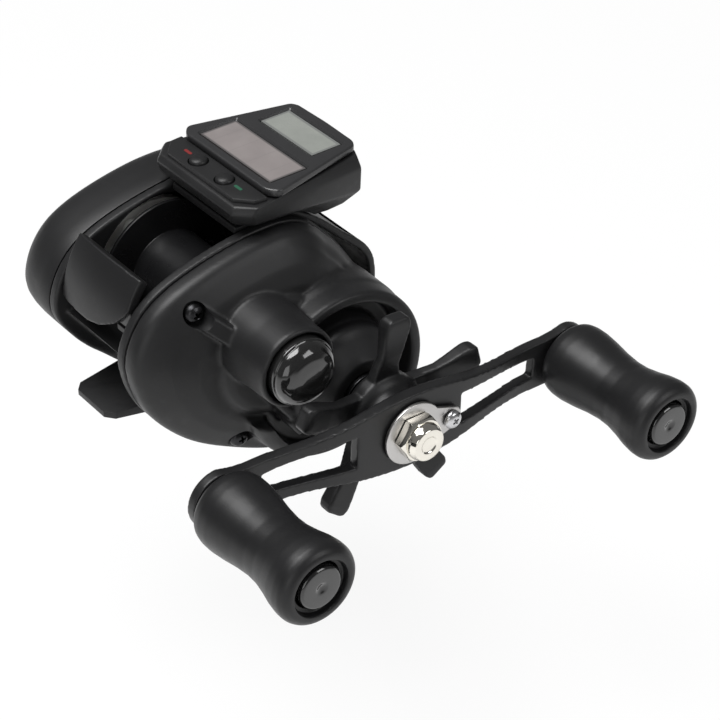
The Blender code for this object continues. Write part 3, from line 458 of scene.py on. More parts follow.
# %% [markdown]
# ## Metals
# Turned and stamped metal keeps the marks of its tool: fine lines all one way. Noise drawn out along
# one axis gives those lines, and a second, broader noise gives the dull patches where hands touch.

# %% Metal finishes
def machined(name, tone, gloss, axis=0, line=0.15, metallic=1.0, depth=0.004):
    finish = Finish(name, metallic)
    lines = finish.stretched(line, 12.0, axis)
    broad = finish.speckle(5.0)
    colour = finish.blend(broad * 0.6 + lines * 0.4, [c * 0.8 for c in tone], [min(1, c * 1.1) for c in tone])
    return finish.wear(colour, gloss + (lines - 0.5) * 0.14 + (broad - 0.5) * 0.16,
                       finish.bump(lines, depth, 0.5))


STEEL = machined("turned_steel", (0.58, 0.58, 0.59), 0.26)
PLATE_STEEL = machined("plate_steel", (0.52, 0.51, 0.50), 0.34, 1)
CHROME = machined("nut_chrome", (0.80, 0.77, 0.70), 0.10, 0, 0.3, 1.0, 0.001)
BRASS = machined("cut_brass", (0.72, 0.53, 0.24), 0.28)


def plain_moulding(name, tone, gloss):
    finish = Finish(name)
    fine, broad = finish.speckle(0.4), finish.speckle(4.0)
    colour = finish.blend(broad, [c * 0.86 for c in tone], [min(1, c * 1.08) for c in tone])
    return finish.wear(colour, gloss + (fine - 0.5) * 0.2, finish.bump(fine, 0.006, 0.5))


NYLON = plain_moulding("natural_nylon", (0.70, 0.70, 0.67), 0.45)
BEZEL_GREY = plain_moulding("bezel_grey", (0.020, 0.020, 0.021), 0.32)
MARK_RED = plain_moulding("mark_red", (0.16, 0.012, 0.012), 0.45)
MARK_GREEN = plain_moulding("mark_green", (0.012, 0.075, 0.04), 0.45)
DARK_STEEL = machined("blackened_steel", (0.035, 0.035, 0.037), 0.34)


def woven_washer():
    finish = Finish("woven_carbon")
    weave = finish.add("ShaderNodeTexChecker", {}, {"Vector": finish.here, "Scale": 900.0}, "Fac")
    return finish.wear(finish.blend(weave, (0.02, 0.02, 0.02), (0.06, 0.06, 0.06)), 0.55 + weave * 0.15,
                       finish.bump(weave, 0.02, 0.5))


def board():
    finish = Finish("board_green")
    tracks = finish.add("ShaderNodeTexBrick", {"offset": 0.5},
                        {"Vector": finish.here, "Color1": (0.02, 0.12, 0.05, 1),
                         "Color2": (0.03, 0.16, 0.07, 1), "Mortar": (0.05, 0.26, 0.12, 1),
                         "Scale": 320.0, "Mortar Size": 0.02})
    return finish.wear(tracks, 0.35 + finish.speckle(2.0) * 0.2, None)


CARBON = woven_washer()
BOARD = board()
print("metal and inner finishes ready")

# %% [markdown]
# ## Solar panel and display
# Both sit under a clear cover. The panel is a row of amorphous cells: warm grey with thin darker
# gaps. The display is off, so it shows its pale backing with a faint edge of glue around it.

# %% Glass finishes
def lines_across(coordinate, pitch, width):
    """Thin lines every pitch metres along a coordinate."""
    finish = coordinate.finish
    phase = finish.add("ShaderNodeMath", {"operation": "PINGPONG"}, {0: coordinate, 1: pitch / 2})
    return 1 - phase.above(width, width * 0.6)


def border(finish, half_width, half_depth, middle, soft):
    """1 inside a rectangle on the counter's face, 0 at its edge."""
    x, y, _ = finish.parts()
    from_middle = [finish.add("ShaderNodeMath", {"operation": "ABSOLUTE"}, {0: value})
                   for value in (x, y - middle)]
    return (1 - from_middle[0].above(half_width, soft)) * (1 - from_middle[1].above(half_depth, soft))


def solar():
    finish = Finish("solar_cells")
    x, y, _ = finish.parts()
    gaps = lines_across(x - 0.0031, 0.0062, 0.00012)
    broad = finish.speckle(7.0)
    cells = finish.blend(broad, (0.155, 0.138, 0.136), (0.225, 0.203, 0.198))
    cells = finish.blend(gaps * 0.25, cells, (0.12, 0.11, 0.11))
    colour = finish.blend(border(finish, 0.0127, 0.0044, 0.0171, 0.0005), (0.07, 0.065, 0.065), cells)
    finish.shader.inputs["Coat Weight"].default_value = 0.6
    finish.shader.inputs["Coat Roughness"].default_value = 0.08
    return finish.wear(colour, 0.28 + broad * 0.1, None)


def display():
    finish = Finish("display_backing")
    broad = finish.speckle(6.0)
    face = finish.blend(broad, (0.18, 0.19, 0.175), (0.25, 0.26, 0.24))
    colour = finish.blend(border(finish, 0.0090, 0.0033, 0.0302, 0.0004), (0.14, 0.145, 0.14), face)
    finish.shader.inputs["Coat Weight"].default_value = 0.6
    finish.shader.inputs["Coat Roughness"].default_value = 0.06
    return finish.wear(colour, 0.22 + broad * 0.1, None)


SOLAR, DISPLAY = solar(), display()

# %% [markdown]
# ## Finishes on the pieces that keep their shape
# Gears, bearings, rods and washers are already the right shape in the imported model. They only need
# their metal, so each node's slots are given the finish for its kind.

# %% Inner pieces
FINISH_OF = {
    "steel": STEEL, "chrome": CHROME, "brass": BRASS, "white_plastic": NYLON, "friction_felt": CARBON,
    "board_green": BOARD, "solar_glass": SOLAR, "screen_glass": DISPLAY, "ceramic": RING_CERAMIC,
    "black_body": BODY_BLACK, "black_metal": ARM_BLACK, "black_gloss": CAP_BLACK,
    "soft_grip": GRIP_BLACK, "bezel_grey": BEZEL_GREY}
for entry in frame["record"]["subparts"]:
    node = frame["nodes"][entry["node"]]
    finish = FINISH_OF[entry["material_slot"]]
    for slot in node.material_slots:
        slot.material = finish
    if not node.material_slots:
        node.data.materials.append(finish)
print("finished", len(frame["nodes"]), "nodes")

# %% [markdown]
# ## The gear cover
# This is the reel's most sculpted piece. A sloped shell follows the side outline, a drum stands over
# the main gear, and a boss carries the handle shaft. A web with two branches ties the rear screw to
# the boss under the tension cap, and a guard wall stands round the front of the drum. Every feature
# is a simple crossing shell, and the remesh turns them into one moulded skin.

# %% Gear cover
NEAR = PLATE + 0.3
COVER_MIDDLE = (5.0, 31.0)
REAR_SCREW, LOWER_SCREW = (-14.2, 50.0), (-3.9, 12.1)


def cover_ring(rim, share, x):
    return at_x(shrunk(rim, share, COVER_MIDDLE), x)


def rim_ring(rim, share, x):
    """A ring of the cover's wall, drawn in toward the nose so that the front cowl stands proud."""
    drawn_in = max(0.0, min(1.0, (x - NEAR) / 3.0)) * 0.05 if x < NEAR + 6 else 0.0
    points = []
    for a, b in rim:
        at_nose = min(1.0, max(0.0, (a - 12) / 12)) * min(1.0, max(0.0, (b - 28) / 8))
        scale = share - drawn_in * at_nose
        points.append((x, COVER_MIDDLE[0] + (a - COVER_MIDDLE[0]) * scale,
                       COVER_MIDDLE[1] + (b - COVER_MIDDLE[1]) * scale))
    return points


def bar(points, width, low, heights):
    """A raised bar through side-view points, with a top height at each."""
    rings = []
    for i, (point, top) in enumerate(zip(points, heights)):
        ahead, behind = Vector(points[min(i + 1, len(points) - 1)]), Vector(points[max(i - 1, 0)])
        along = (ahead - behind).normalized()
        across = Vector((-along.y, along.x)) * width / 2
        left, right = Vector(point) + across, Vector(point) - across
        inner_left, inner_right = Vector(point) + across * 0.7, Vector(point) - across * 0.7
        rings.append([(low, *left), (top - 0.5, *left), (top, *inner_left), (top, *inner_right),
                      (top - 0.5, *right), (low, *right)])
    return shell(rings)


def carve_all(piece, cutters):
    """Cuts several crossing shapes out of the piece in one go."""
    tool = as_piece("cutter", cutters[0])
    for cutter in cutters[1:]:
        carve(tool, cutter, "UNION")
    return combined(piece, tool, "DIFFERENCE")


def gear_cover():
    rim = curved(GEAR_SIDE, 8)
    sides = [(1.0, 0), (1.0, 2.8), (0.99, 3.8), (0.965, 4.7), (0.92, 5.6), (0.86, 6.6), (0.78, 7.9),
             (0.62, 9.6)]
    base = shell([rim_ring(rim, share, NEAR + x) for share, x in sides])
    drum = lathe([(NEAR + 1, 0), (NEAR + 1, 22.7), (26.0, 22.5), (27.6, 22.0), (29.3, 20.6), (30.0, 19.2),
                  (30.0, 0)], on_axis(CRANK))
    cover = as_piece("gear_cover_shell", together(base, drum))
    mould(cover, 0.5, 1)
    # the channel round the crank boss and the scooped pocket behind the web
    pocket = curved([(-11.6, 37.5), (-11.8, 30), (-8.6, 23.5), (-3.6, 18.0), (0.8, 19.2), (-2.2, 28),
                     (-6.0, 37.0)], 6)
    carve(cover, lathe([(25.4, 14.8), (25.4, 18.6), (31, 19.2), (31, 14.8)], on_axis(CRANK)))
    carve(cover, shell([at_x(offset(pocket, 1.4), 24.7), at_x(pocket, 25.8), at_x(offset(pocket, -1.2), 32)]))
    joint = (-7.1, 43.0)
    web = [(28.2, *joint), (33.6, 0.5, 45.6), (33.6, 8.5, 41), (31.0, 9, 24), (31.6, 5.4, 18.6),
           (31.4, -0.4, 26.8), (30.4, -5.6, 36.2)]
    plate = shell([[(19, a, b) for _, a, b in web], web])
    bmesh.ops.triangulate(plate, faces=plate.faces)
    bmesh.ops.recalc_face_normals(plate, faces=plate.faces)
    added = [
        lathe([(NEAR + 5, 0), (NEAR + 5, 14.3), (32.2, 14.3), (33.2, 13.9), (34.4, 12.6), (38.0, 9.9),
               (39.1, 8.9), (39.2, 8.4), (39.2, 0)], on_axis(CRANK)),
        lathe([(NEAR + 3, 0), (NEAR + 3, 11.0), (24, 10.4), (29.6, 10.0), (35.8, 9.4), (36.4, 9.1),
               (36.4, 0)], on_axis(SPOOL)),
        lathe([(30, 8.4), (30, 9.8), (39.2, 9.6), (39.8, 9.1), (39.8, 8.4)], on_axis(SPOOL)),
        lathe([(NEAR + 3, 0), (NEAR + 3, 15.0), (25.2, 14.6), (26.2, 13.9), (26.8, 12.4), (27.0, 0)],
              on_axis((4.2, 33.4))),
        bar([REAR_SCREW, joint], 4.2, 18, [24.6, 28.6]),
        bar([joint, (0.5, 45.6), (3.5, 45.6)], 2.6, 20, [28.8, 34.4, 34.8]),
        bar([joint, (-5.6, 36.2), (-0.4, 26.8), (5.4, 18.6)], 2.4, 20, [28.8, 31.2, 32.4, 33.0]),
        bar([(4.2, 20.6), (6.6, 16.9)], 5.0, 24, [33.2, 33.6]),
        plate,
        shell([at_x(band(CRANK, 18.8, 22.4, -34, 116), 22), at_x(band(CRANK, 19.1, 22.0, -33, 115), 31.4),
               at_x(band(CRANK, 19.6, 21.4, -31, 113), 32.2)]),
    ]
    for piece in added:
        carve(cover, piece, "UNION")
    mould(cover, 0.42, 5)
    hollow = [shell([cover_ring(rim, 0.93, NEAR - 1), cover_ring(rim, 0.93, NEAR + 1.4),
                     cover_ring(rim, 0.76, NEAR + 5.5)]),
              rod(21.7, NEAR - 1, 23.6, CRANK), rod(10.3, NEAR, 32.9, CRANK), rod(6.3, NEAR, 42, CRANK),
              rod(8.2, NEAR - 1, 27, SPOOL), rod(5.3, NEAR - 1, 33, SPOOL), rod(2.4, NEAR - 1, 42, SPOOL)]
    for screw in (REAR_SCREW, LOWER_SCREW):
        hollow += [rod(2.75, 20.6, 50, screw), rod(1.5, NEAR - 1, 22, screw)]
    carve_all(cover, hollow)
    carve(cover, lathe([(30, 4), (30, 6.0), (40.7, 6.0), (40.7, 2.4), (30, 2.4)], on_axis(SPOOL)), "UNION")
    return place_on(cover, "body", "black_body", COVER_BLACK, "gear_cover", sharp=50)


gear_cover()
print("gear cover faces:", PIECES["gear_cover_shell"])

# %% [markdown]
# ## Palm cover and frame
# The palm cover is a dome with a full, rounded shoulder, so it is a stack of shrinking outlines. The
# frame is one casting: two side plates, the rear cowl and the front posts, with a window for the
# spool. It is cut from its outline and then given small fillets all over.

# %% Palm cover
PALM_MIDDLE = (2.0, 37.0)
DIAL_RADIUS = 9.0


def palm_cover():
    rim = curved(PALM_SIDE, 10)
    near = -PLATE - 0.3
    dome = [(0, 0.994), (0.3, 1.0), (4, 1.0), (6.4, 0.999), (8.6, 0.992), (10.6, 0.978), (12.4, 0.953),
            (13.9, 0.917), (15.1, 0.87), (16.0, 0.81), (16.6, 0.74), (16.9, 0.66), (17.0, 0.58)]
    cover = as_piece("palm_cover_shell", shell([at_x(shrunk(rim, share, PALM_MIDDLE), near - depth)
                                                for depth, share in dome]))
    inside = [(near + 1, 0.92), (near - 8, 0.92), (near - 12, 0.85), (near - 14.3, 0.7)]
    carve(cover, shell([at_x(shrunk(rim, share, PALM_MIDDLE), x) for x, share in inside]))
    carve(cover, lathe([(near - 15.5, 4), (near - 15.5, 6.6), (near - 1.5, 6.6), (near - 1.5, 4)],
                       on_axis(SPOOL)), "UNION")
    carve_all(cover, [rod(5.2, near - 6.2, near, SPOOL), rod(3.2, near - 25, near - 5, SPOOL),
                      lathe([(near - 25, 0), (near - 25, 12), (near - 17, 10.4),
                             (near - 16.2, DIAL_RADIUS + 0.5), (near - 14.6, DIAL_RADIUS + 0.5),
                             (near - 14.6, 0)], on_axis(SPOOL))])
    return place_on(cover, "body", "black_body", COVER_BLACK, "palm_cover", sharp=45)


palm_cover()

# %% Frame
GUIDE_RODS = [(25.4, 38.6), (31.6, 25.0)]
WORM = (29.6, 30.6)
INSIDE = 12.5                             # inner face of each side plate


def frame_casting():
    casting = as_piece("frame_casting", slab(curved(PALM_SIDE, 8), -PLATE, INSIDE + 1))
    carve(casting, slab(curved(GEAR_SIDE, 8), INSIDE, PLATE), "UNION")
    carve(casting, rod(17.6, -PLATE - 1, INSIDE, SPOOL, 96))
    opening = [(-40, 37.0), (-21.5, 37.0), (-17.0, 38.2), (-14, 46), (0, 46), (14, 30), (19, 23.4),
               (34, 20.5), (60, 20.5), (60, 80), (-40, 80)]
    carve(casting, slab(opening, -INSIDE, INSIDE))
    carve(casting, slab([(-40, 37.4), (-25.9, 37.4), (-22.0, 31.9), (-17.5, 26.0), (-13.0, 21.0), (-13.0, 15),
                         (-40, 15)], -INSIDE, INSIDE))
    carve(casting, slab([(-60, -5), (60, -5), (60, 21.1), (-60, 21.1)], -INSIDE, INSIDE))
    mould(casting, 0.4, 3)
    holes = [rod(5.3, INSIDE - 1, PLATE + 1, SPOOL), rod(3.6, INSIDE - 1, PLATE + 1, CRANK),
             rod(2.3, -PLATE - 1, PLATE + 1, WORM)]
    holes += [rod(1.3, -PLATE - 1, PLATE + 1, place, 32) for place in GUIDE_RODS]
    holes.append(slab(rounded(3.2, 10.0, 0.4, 3, (-20.2, 38.5)), INSIDE - 1, PLATE + 1))
    carve_all(casting, holes)
    return place_on(casting, "body", "black_body", BODY_BLACK, "frame", sharp=50)


frame_casting()
print("frame and palm cover ready")

# %% [markdown]
# ## Front cowl and thumb bar
# The cowl wraps the line guide, and its wide slot lets the line run out whichever side the guide is
# on. The thumb bar behind the spool is a crowned plate that closes the rear.

# %% Front cowl
COWL = [(-5, 59.4), (3.5, 59.8), (12, 59.7), (20, 58.0), (27, 53.0), (33, 47.4), (36.5, 44.4), (39.8, 41.0),
        (41.8, 36.8), (42.2, 31), (41.2, 25.5), (38.6, 21.4), (34, 18)]


def front_cowl():
    samples = 8
    whole = curved(COWL, samples)
    stretch = slice(samples, samples * (len(COWL) - 2) + 1)
    section = whole[stretch] + offset(whole, 1.9)[stretch][::-1]
    cowl = as_piece("front_cowl_shell", slab(section, -12.2, 12.2))
    carve(cowl, slab(rounded(21.6, 4.8, 2.3, 10, (0, 36.3)), 36, 60, "Z"))
    mould(cowl, 0.36, 3)
    return place_on(cowl, "body", "black_body", BODY_BLACK, "front_cowl", sharp=0)


def thumb_bar():
    rings = []
    half, steps = 12.15, 24
    for i in range(steps + 1):
        x = -half + 2 * half * i / steps
        crown = 0.8 * (x / half) ** 2
        outer = [(-a, b) for a, b in arc((0, 39.6), 27.6 - crown, 4, 38, 60)]
        inner = [(-a, b) for a, b in arc((0, 39.6), 24.4, 38, 4, 60)]
        rings.append(at_x(outer + inner, x))
    plate = as_piece("thumb_plate", shell(rings))
    carve(plate, slab(rounded(2.6, 1.7, 0.3, 3, (-20.2, 42.35)), 11.0, 17.6), "UNION")
    carve(plate, slab(rounded(6.2, 1.6, 0.3, 3, (-22.1, 42.4)), 6.0, 12.1), "UNION")
    # both lower corners are swept up, the one by the gear cover more
    for corner in ([(13, 40), (13, 51), (11.6, 48.4), (8.6, 45.2), (4, 42.8), (-2, 41.2), (-2, 40)],
                   [(-13, 40), (-13, 43.4), (-12, 42.2), (-10.4, 41.4), (-9, 41.1), (-9, 40)]):
        carve(plate, slab(corner, -32, -24.0, "Y"))
    mould(plate, 0.3, 4)
    return place_on(plate, "thumb", "black_body", GRIP_BLACK, "thumb_bar", sharp=0)


front_cowl(), thumb_bar()
print("cowl and thumb bar ready")

# %% [markdown]
# ## The line counter
# A tapered, chamfered housing stands on the cowl. A dark bezel on top frames the solar panel and the
# display, and two small buttons sit on the deck behind it.

# %% Counter
RIM_TOP, DECK_TOP, BEZEL_BOTTOM, BEZEL_TOP = 66.7, 67.7, 67.0, 68.9
NOSE_CORNER = 1.6                         # corner of the narrow front end
UNDERSIDE_DROP = 4.5                      # how much deeper the housing is at its front
BUTTON_X, BUTTON_Y = 5.0, 6.0
WINDOWS = ((27.0, 10.3, 17.1), (19.8, 8.5, 30.2))   # width, depth and middle of panel and display


def counter_plan(half_rear, half_front, rear, front, corner):
    return [(-half_rear + corner, rear), (half_rear - corner, rear), (half_rear, rear + corner),
            (half_front + 1.2, front - NOSE_CORNER), (half_front - NOSE_CORNER, front - 0.3), (0, front),
            (-half_front + NOSE_CORNER, front - 0.3), (-half_front - 1.2, front - NOSE_CORNER),
            (-half_rear, rear + corner)]


def counter_housing():
    sections = [(57.0, 12.8, 11.5, 6.0, 29.5, 2.0), (60.5, 14.5, 12.6, 3.6, 33.6, 2.6),
                (62.6, 17.6, 13.0, 1.6, 37.9, 3.4), (65.2, 17.9, 13.2, 1.0, 38.0, 3.6),
                (RIM_TOP, 17.9, 12.0, 2.1, 37.6, 3.8)]
    sinks = (0.5, 0.95, 1.0, 0.3, 0)      # how far each section follows the sloped underside
    rings = [[(x, y, z - sink * UNDERSIDE_DROP * min(1, max(0, (y - 8) / 24)))
              for x, y in counter_plan(*plan)] for (z, *plan), sink in zip(sections, sinks)]
    housing = as_piece("counter_case", shell(rings))
    eased(housing, 0.45, 4, 12)
    deck = as_piece("deck", slab([(-12.45, 2.8), (12.45, 2.8), (16.2, 6.2), (16.4, 9.3), (-16.4, 9.3),
                                  (-16.2, 6.2)], RIM_TOP - 1, DECK_TOP, "Z"))
    eased(deck, 0.3, 3, 20)
    combined(housing, deck, "UNION")
    pocket = [(-11.8, 4.6), (11.8, 4.6), (15.6, 8.2), (12.6, 33.6), (-12.6, 33.6), (-15.6, 8.2)]
    opening = [(-14.8, 10.6), (14.8, 10.6), (12.2, 33.6), (-12.2, 33.6)]
    carve(housing, slab(offset(curved(PALM_SIDE, 8), -1.6), -30, 30))
    carve(housing, slab(pocket, 61.2, 66.3, "Z"))
    carve(housing, slab(opening, 64, DECK_TOP, "Z"))
    hole = [(60, 0), (60, 2.4), (68, 2.4), (68, 0)]
    for side in (-1, 1):
        carve(housing, lathe(hole, (side * BUTTON_X, BUTTON_Y, 0), 48, "Z"))
    return place_on(housing, "body", "black_body", COUNTER_BLACK, "counter_housing", sharp=25)


def counter_bezel():
    plan = [(-15.2, 9.6), (15.2, 9.6), (17.8, 11.6), (11.9, 36.2), (10.2, 37.2), (0, 37.5), (-10.2, 37.2),
            (-11.9, 36.2), (-17.8, 11.6)]
    bezel = as_piece("counter_frame", slab(softened(plan, 1.4, 5), BEZEL_BOTTOM, BEZEL_TOP, "Z"))
    eased(bezel, 0.5, 4, 40)
    for width, depth, y in WINDOWS:
        carve(bezel, shell([at_z(rounded(width, depth, 0.5, 4, (0, y)), 60),
                            at_z(rounded(width, depth, 0.5, 4, (0, y)), 68.45),
                            at_z(rounded(width + 1.0, depth + 1.0, 0.8, 4, (0, y)), 69.0),
                            at_z(rounded(width + 1.0, depth + 1.0, 0.8, 4, (0, y)), 72)]))
    return place_on(bezel, "body", "bezel_grey", BEZEL_GREY, "counter_bezel", sharp=25)


def buttons():
    for name, side in (("mode", -1), ("reset", 1)):
        dome = [(RIM_TOP, 0), (RIM_TOP, 2.1), (67.9, 2.1), (68.2, 1.95), (68.45, 1.6), (68.62, 1.1),
                (68.7, 0.5), (68.7, 0)]
        cap = as_piece(name + "_button_cap", lathe(dome, (side * BUTTON_X, BUTTON_Y, 0), 48, "Z"))
        place_on(cap, name + "_button", "black_gloss", BUTTON_BLACK, "button_" + name)


def deck_marks():
    """Plain colour bars by the buttons say which is which."""
    for name, side, material in (("mode", -1, MARK_RED), ("reset", 1, MARK_GREEN)):
        mark = as_piece(name + "_mark", slab(rounded(2.6, 0.8, 0.35, 6, (side * 9.6, 6.4)), 67.5, 67.74, "Z"))
        place_on(mark, "body", "black_body", material)


counter_housing(), counter_bezel(), buttons(), deck_marks()
print("counter ready")

# %% [markdown]
# ## Turned pieces
# Knobs, caps, the spool and the screws all come off a lathe or out of a round mould, so each is one
# profile. Their small radii are in the profile itself.

# %% Round profiles
def turned_piece(name, profile, centre, body, slot, material, node, steps=96, axis="X", radius=0.35):
    piece = as_piece(name, lathe(softened(profile, radius), centre, steps, axis))
    return place_on(piece, body, slot, material, node, sharp=45)


def on_handle(reach):
    return (0, CRANK[0] + reach * math.cos(HANDLE_TILT), CRANK[1] + reach * math.sin(HANDLE_TILT))


KNOB_START, KNOB_END = 53.4, 86.8
for name, side in (("rear", -1), ("front", 1)):
    place = on_handle(side * KNOB_REACH)
    s, e = KNOB_START, KNOB_END
    grip = [(s, 2.5), (s, 7.4), (s + 0.5, 8.2), (s + 1.4, 8.8), (s + 3.0, 9.1), (s + 5.5, 9.1), (s + 9, 8.7),
            (s + 13, 8.05), (s + 17, 7.7), (s + 20.5, 7.85), (s + 24, 8.5), (s + 27, 9.25), (s + 29.5, 9.6),
            (s + 31.3, 9.55), (e - 0.9, 9.0), (e - 0.2, 8.2), (e, 7.6), (e, 6.75), (e - 0.5, 6.55),
            (e - 1.6, 6.4), (e - 1.6, 5.4), (e - 4.2, 5.4), (e - 4.2, 2.5)]
    turned_piece("grip_" + name, grip, place, name + "_knob", "soft_grip", GRIP_BLACK, "knob_" + name,
                 radius=0.5)
    cap = [(e - 3.6, 0), (e - 3.6, 5.1), (e - 0.5, 5.1), (e - 0.05, 4.6), (e - 0.05, 1.5), (e - 0.3, 0.9),
           (e - 0.6, 0)]
    turned_piece("grip_cap_" + name, cap, place, name + "_knob", "black_gloss", CAP_BLACK, "knob_cap_" + name)

tension = [(36.8, 6.4), (36.8, 7.7), (37.4, 8.0), (41.2, 8.0), (41.5, 7.6), (41.9, 7.6), (42.9, 7.2),
           (43.9, 6.2), (44.6, 4.7), (45.0, 2.6), (45.1, 0), (41.2, 0), (41.2, 6.4)]
turned_piece("tension_cap_shell", tension, on_axis(SPOOL), "tension_cap", "black_gloss", CAP_BLACK,
             "cast_control_knob", radius=0.5)
half = 11.8
spool_profile = [(-half, 14.6), (-half, 16.5), (-half + 0.9, 16.5), (-half + 1.9, 9.6), (half - 1.9, 9.6),
                 (half - 0.9, 16.5), (half, 16.5), (half, 14.6), (half - 2.2, 8.4), (1.4, 8.4), (1.4, 3.4),
                 (6.0, 3.4), (6.0, 1.8), (-6.0, 1.8), (-6.0, 3.4), (-1.4, 3.4), (-1.4, 8.4),
                 (-half + 2.2, 8.4)]
turned_piece("spool_cup", spool_profile, on_axis(SPOOL), "spool", "black_metal", SPOOL_BLACK, "spool",
             radius=0.2)
turned_piece("shaft_sleeve", [(23.4, 3.4), (23.4, 6.0), (40.2, 6.0), (40.2, 3.4)], on_axis(CRANK), "crank",
             "steel", DARK_STEEL, "bearing_sleeve")
turned_piece("spring_washer", [(40.5, 3.4), (40.5, 5.2), (41.3, 6.4), (42.0, 6.4), (41.2, 5.2), (41.2, 3.4)],
             on_axis(CRANK), "crank", "steel", DARK_STEEL, "drag_spring_washer", radius=0.1)
turned_piece("line_ring", [(-2.4, 2.6), (-2.4, 3.1), (-1.9, 3.3), (1.9, 3.3), (2.4, 3.1), (2.4, 2.6),
                           (1.4, 2.1), (-1.4, 2.1)], (0, 24.7, 45.2), "guide", "ceramic", RING_CERAMIC,
             "guide_ring", steps=64, axis="Y", radius=0.3)
print("turned pieces:", len(PIECES))

# %% [markdown]
# ## Screws
# Each screw has a domed head and a cross recess whose arms taper inward. The recess is cut by two
# thin wedges, so that it catches the light as a real one does.

# %% Screws
def cross_screw(name, node, centre, shank, head_start, head_radius, top, shank_start, body, material,
                turn=0.4):
    profile = [(shank_start, 0), (shank_start, shank), (head_start, shank), (head_start, head_radius),
               (head_start + 0.35 * (top - head_start), head_radius),
               (head_start + 0.7 * (top - head_start), head_radius * 0.84),
               (head_start + 0.93 * (top - head_start), head_radius * 0.5), (top, 0)]
    screw = as_piece(name, lathe(softened(profile, 0.25), centre, 64))
    for quarter in (0, math.pi / 2):
        w, r, depth = head_radius * 0.14, head_radius * 0.66, (top - head_start) * 0.55
        wedge = shell([[(top - depth, -r * 0.3, -w * 0.7), (top - depth, r * 0.3, -w * 0.7),
                        (top - depth, r * 0.3, w * 0.7), (top - depth, -r * 0.3, w * 0.7)],
                       [(top + 1, -r, -w), (top + 1, r, -w), (top + 1, r, w), (top + 1, -r, w)]])
        bmesh.ops.rotate(wedge, verts=wedge.verts, matrix=Matrix.Rotation(turn + quarter, 3, "X"))
        bmesh.ops.translate(wedge, verts=wedge.verts, vec=centre)
        carve(screw, wedge)
    return place_on(screw, body, "steel", material, node, sharp=30)


for name, place, turn in (("rear", REAR_SCREW, 0.4), ("lower", LOWER_SCREW, 0.1)):
    cross_screw(name + "_screw", "cover_screw_" + name, on_axis(place), 1.2, 20.9, 2.3, 23.1, 15.6, "body",
                DARK_STEEL, turn)
RETAINER_FACE = 55.9
RETAINER_SCREW = 10.2
cross_screw("keeper_screw", "retainer_screw", on_handle(RETAINER_SCREW), 0.9, RETAINER_FACE + 1.2, 2.2,
            RETAINER_FACE + 2.7, RETAINER_FACE - 2.2, "crank", STEEL, 0.5)

# %% [markdown]
# ## Handle arm, nut and keeper
# The arm is stamped from thick plate and stepped toward the reel at its ends. Its long slots have
# rounded ends. A domed hexagon nut holds it on the shaft, and a teardrop keeper stops the nut.

# %% Handle
ARM_X, ARM_DROP, ARM_THICK, END_RADIUS = 52.6, 2.6, 3.0, 7.2


def tilted(bm):
    """From the arm's own frame, with the shaft at its middle, to its place on the drawing."""
    bmesh.ops.rotate(bm, verts=bm.verts, matrix=Matrix.Rotation(HANDLE_TILT, 3, "X"))
    bmesh.ops.translate(bm, verts=bm.verts, vec=on_axis(CRANK))
    return bm


def handle_arm():
    rings, steps = [], 120
    longest = KNOB_REACH + END_RADIUS - 0.02
    for i in range(steps + 1):
        reach = -longest * math.cos(math.pi * i / steps)
        far = abs(reach)
        if far > KNOB_REACH:
            half_width = math.sqrt(max(END_RADIUS ** 2 - (far - KNOB_REACH) ** 2, 0.3))
        else:
            share = min(1.0, far / 30)
            swell = max(0.0, (far - 40) / (KNOB_REACH - 40)) ** 2
            half_width = 9.4 - 3.4 * share * share * (3 - 2 * share) + (END_RADIUS - 6.0) * swell
        step = min(1.0, max(0.0, (far - 12) / 26))
        inner = ARM_X - ARM_DROP * step * step * (3 - 2 * step)
        outer = inner + ARM_THICK - 0.4 * min(1.0, far / 30)
        rings.append([(inner, reach, -half_width), (outer, reach, -half_width), (outer, reach, half_width),
                      (inner, reach, half_width)])
    arm = as_piece("handle_plate", tilted(shell(rings)))
    eased(arm, 0.7, 4, 40)
    cutters = [tilted(rod(3.3, 40, 70, (0, 0))), tilted(rod(1.2, 40, 70, (RETAINER_SCREW, 0)))]
    for side in (-1, 1):
        corners = [(side * 14.3, -4.0), (side * 14.3, 4.0), (side * 37.6, 2.6), (side * 37.6, -2.6)]
        cutters.append(tilted(slab(corners, 40, 70)))
        cutters.append(tilted(rod(2.3, 40, 70, (side * KNOB_REACH, 0))))
    carve_all(arm, cutters)
    mould(arm, 0.32, 3)
    return place_on(arm, "crank", "black_metal", ARM_BLACK, "handle_arm", sharp=0)


handle_arm()


def keeper():
    lobe = arc((0, 0), 7.6, 35, 325, 48) + arc((RETAINER_SCREW, 0), 2.9, -52, 52, 16)
    plate = as_piece("nut_keeper", tilted(slab(lobe, RETAINER_FACE, RETAINER_FACE + 0.9)))
    eased(plate, 0.22, 3, 50)
    carve_all(plate, [tilted(rod(3.3, 40, 70, (0, 0))), tilted(rod(1.2, 40, 70, (RETAINER_SCREW, 0)))])
    return place_on(plate, "crank", "steel", PLATE_STEEL, "nut_retainer", sharp=30)


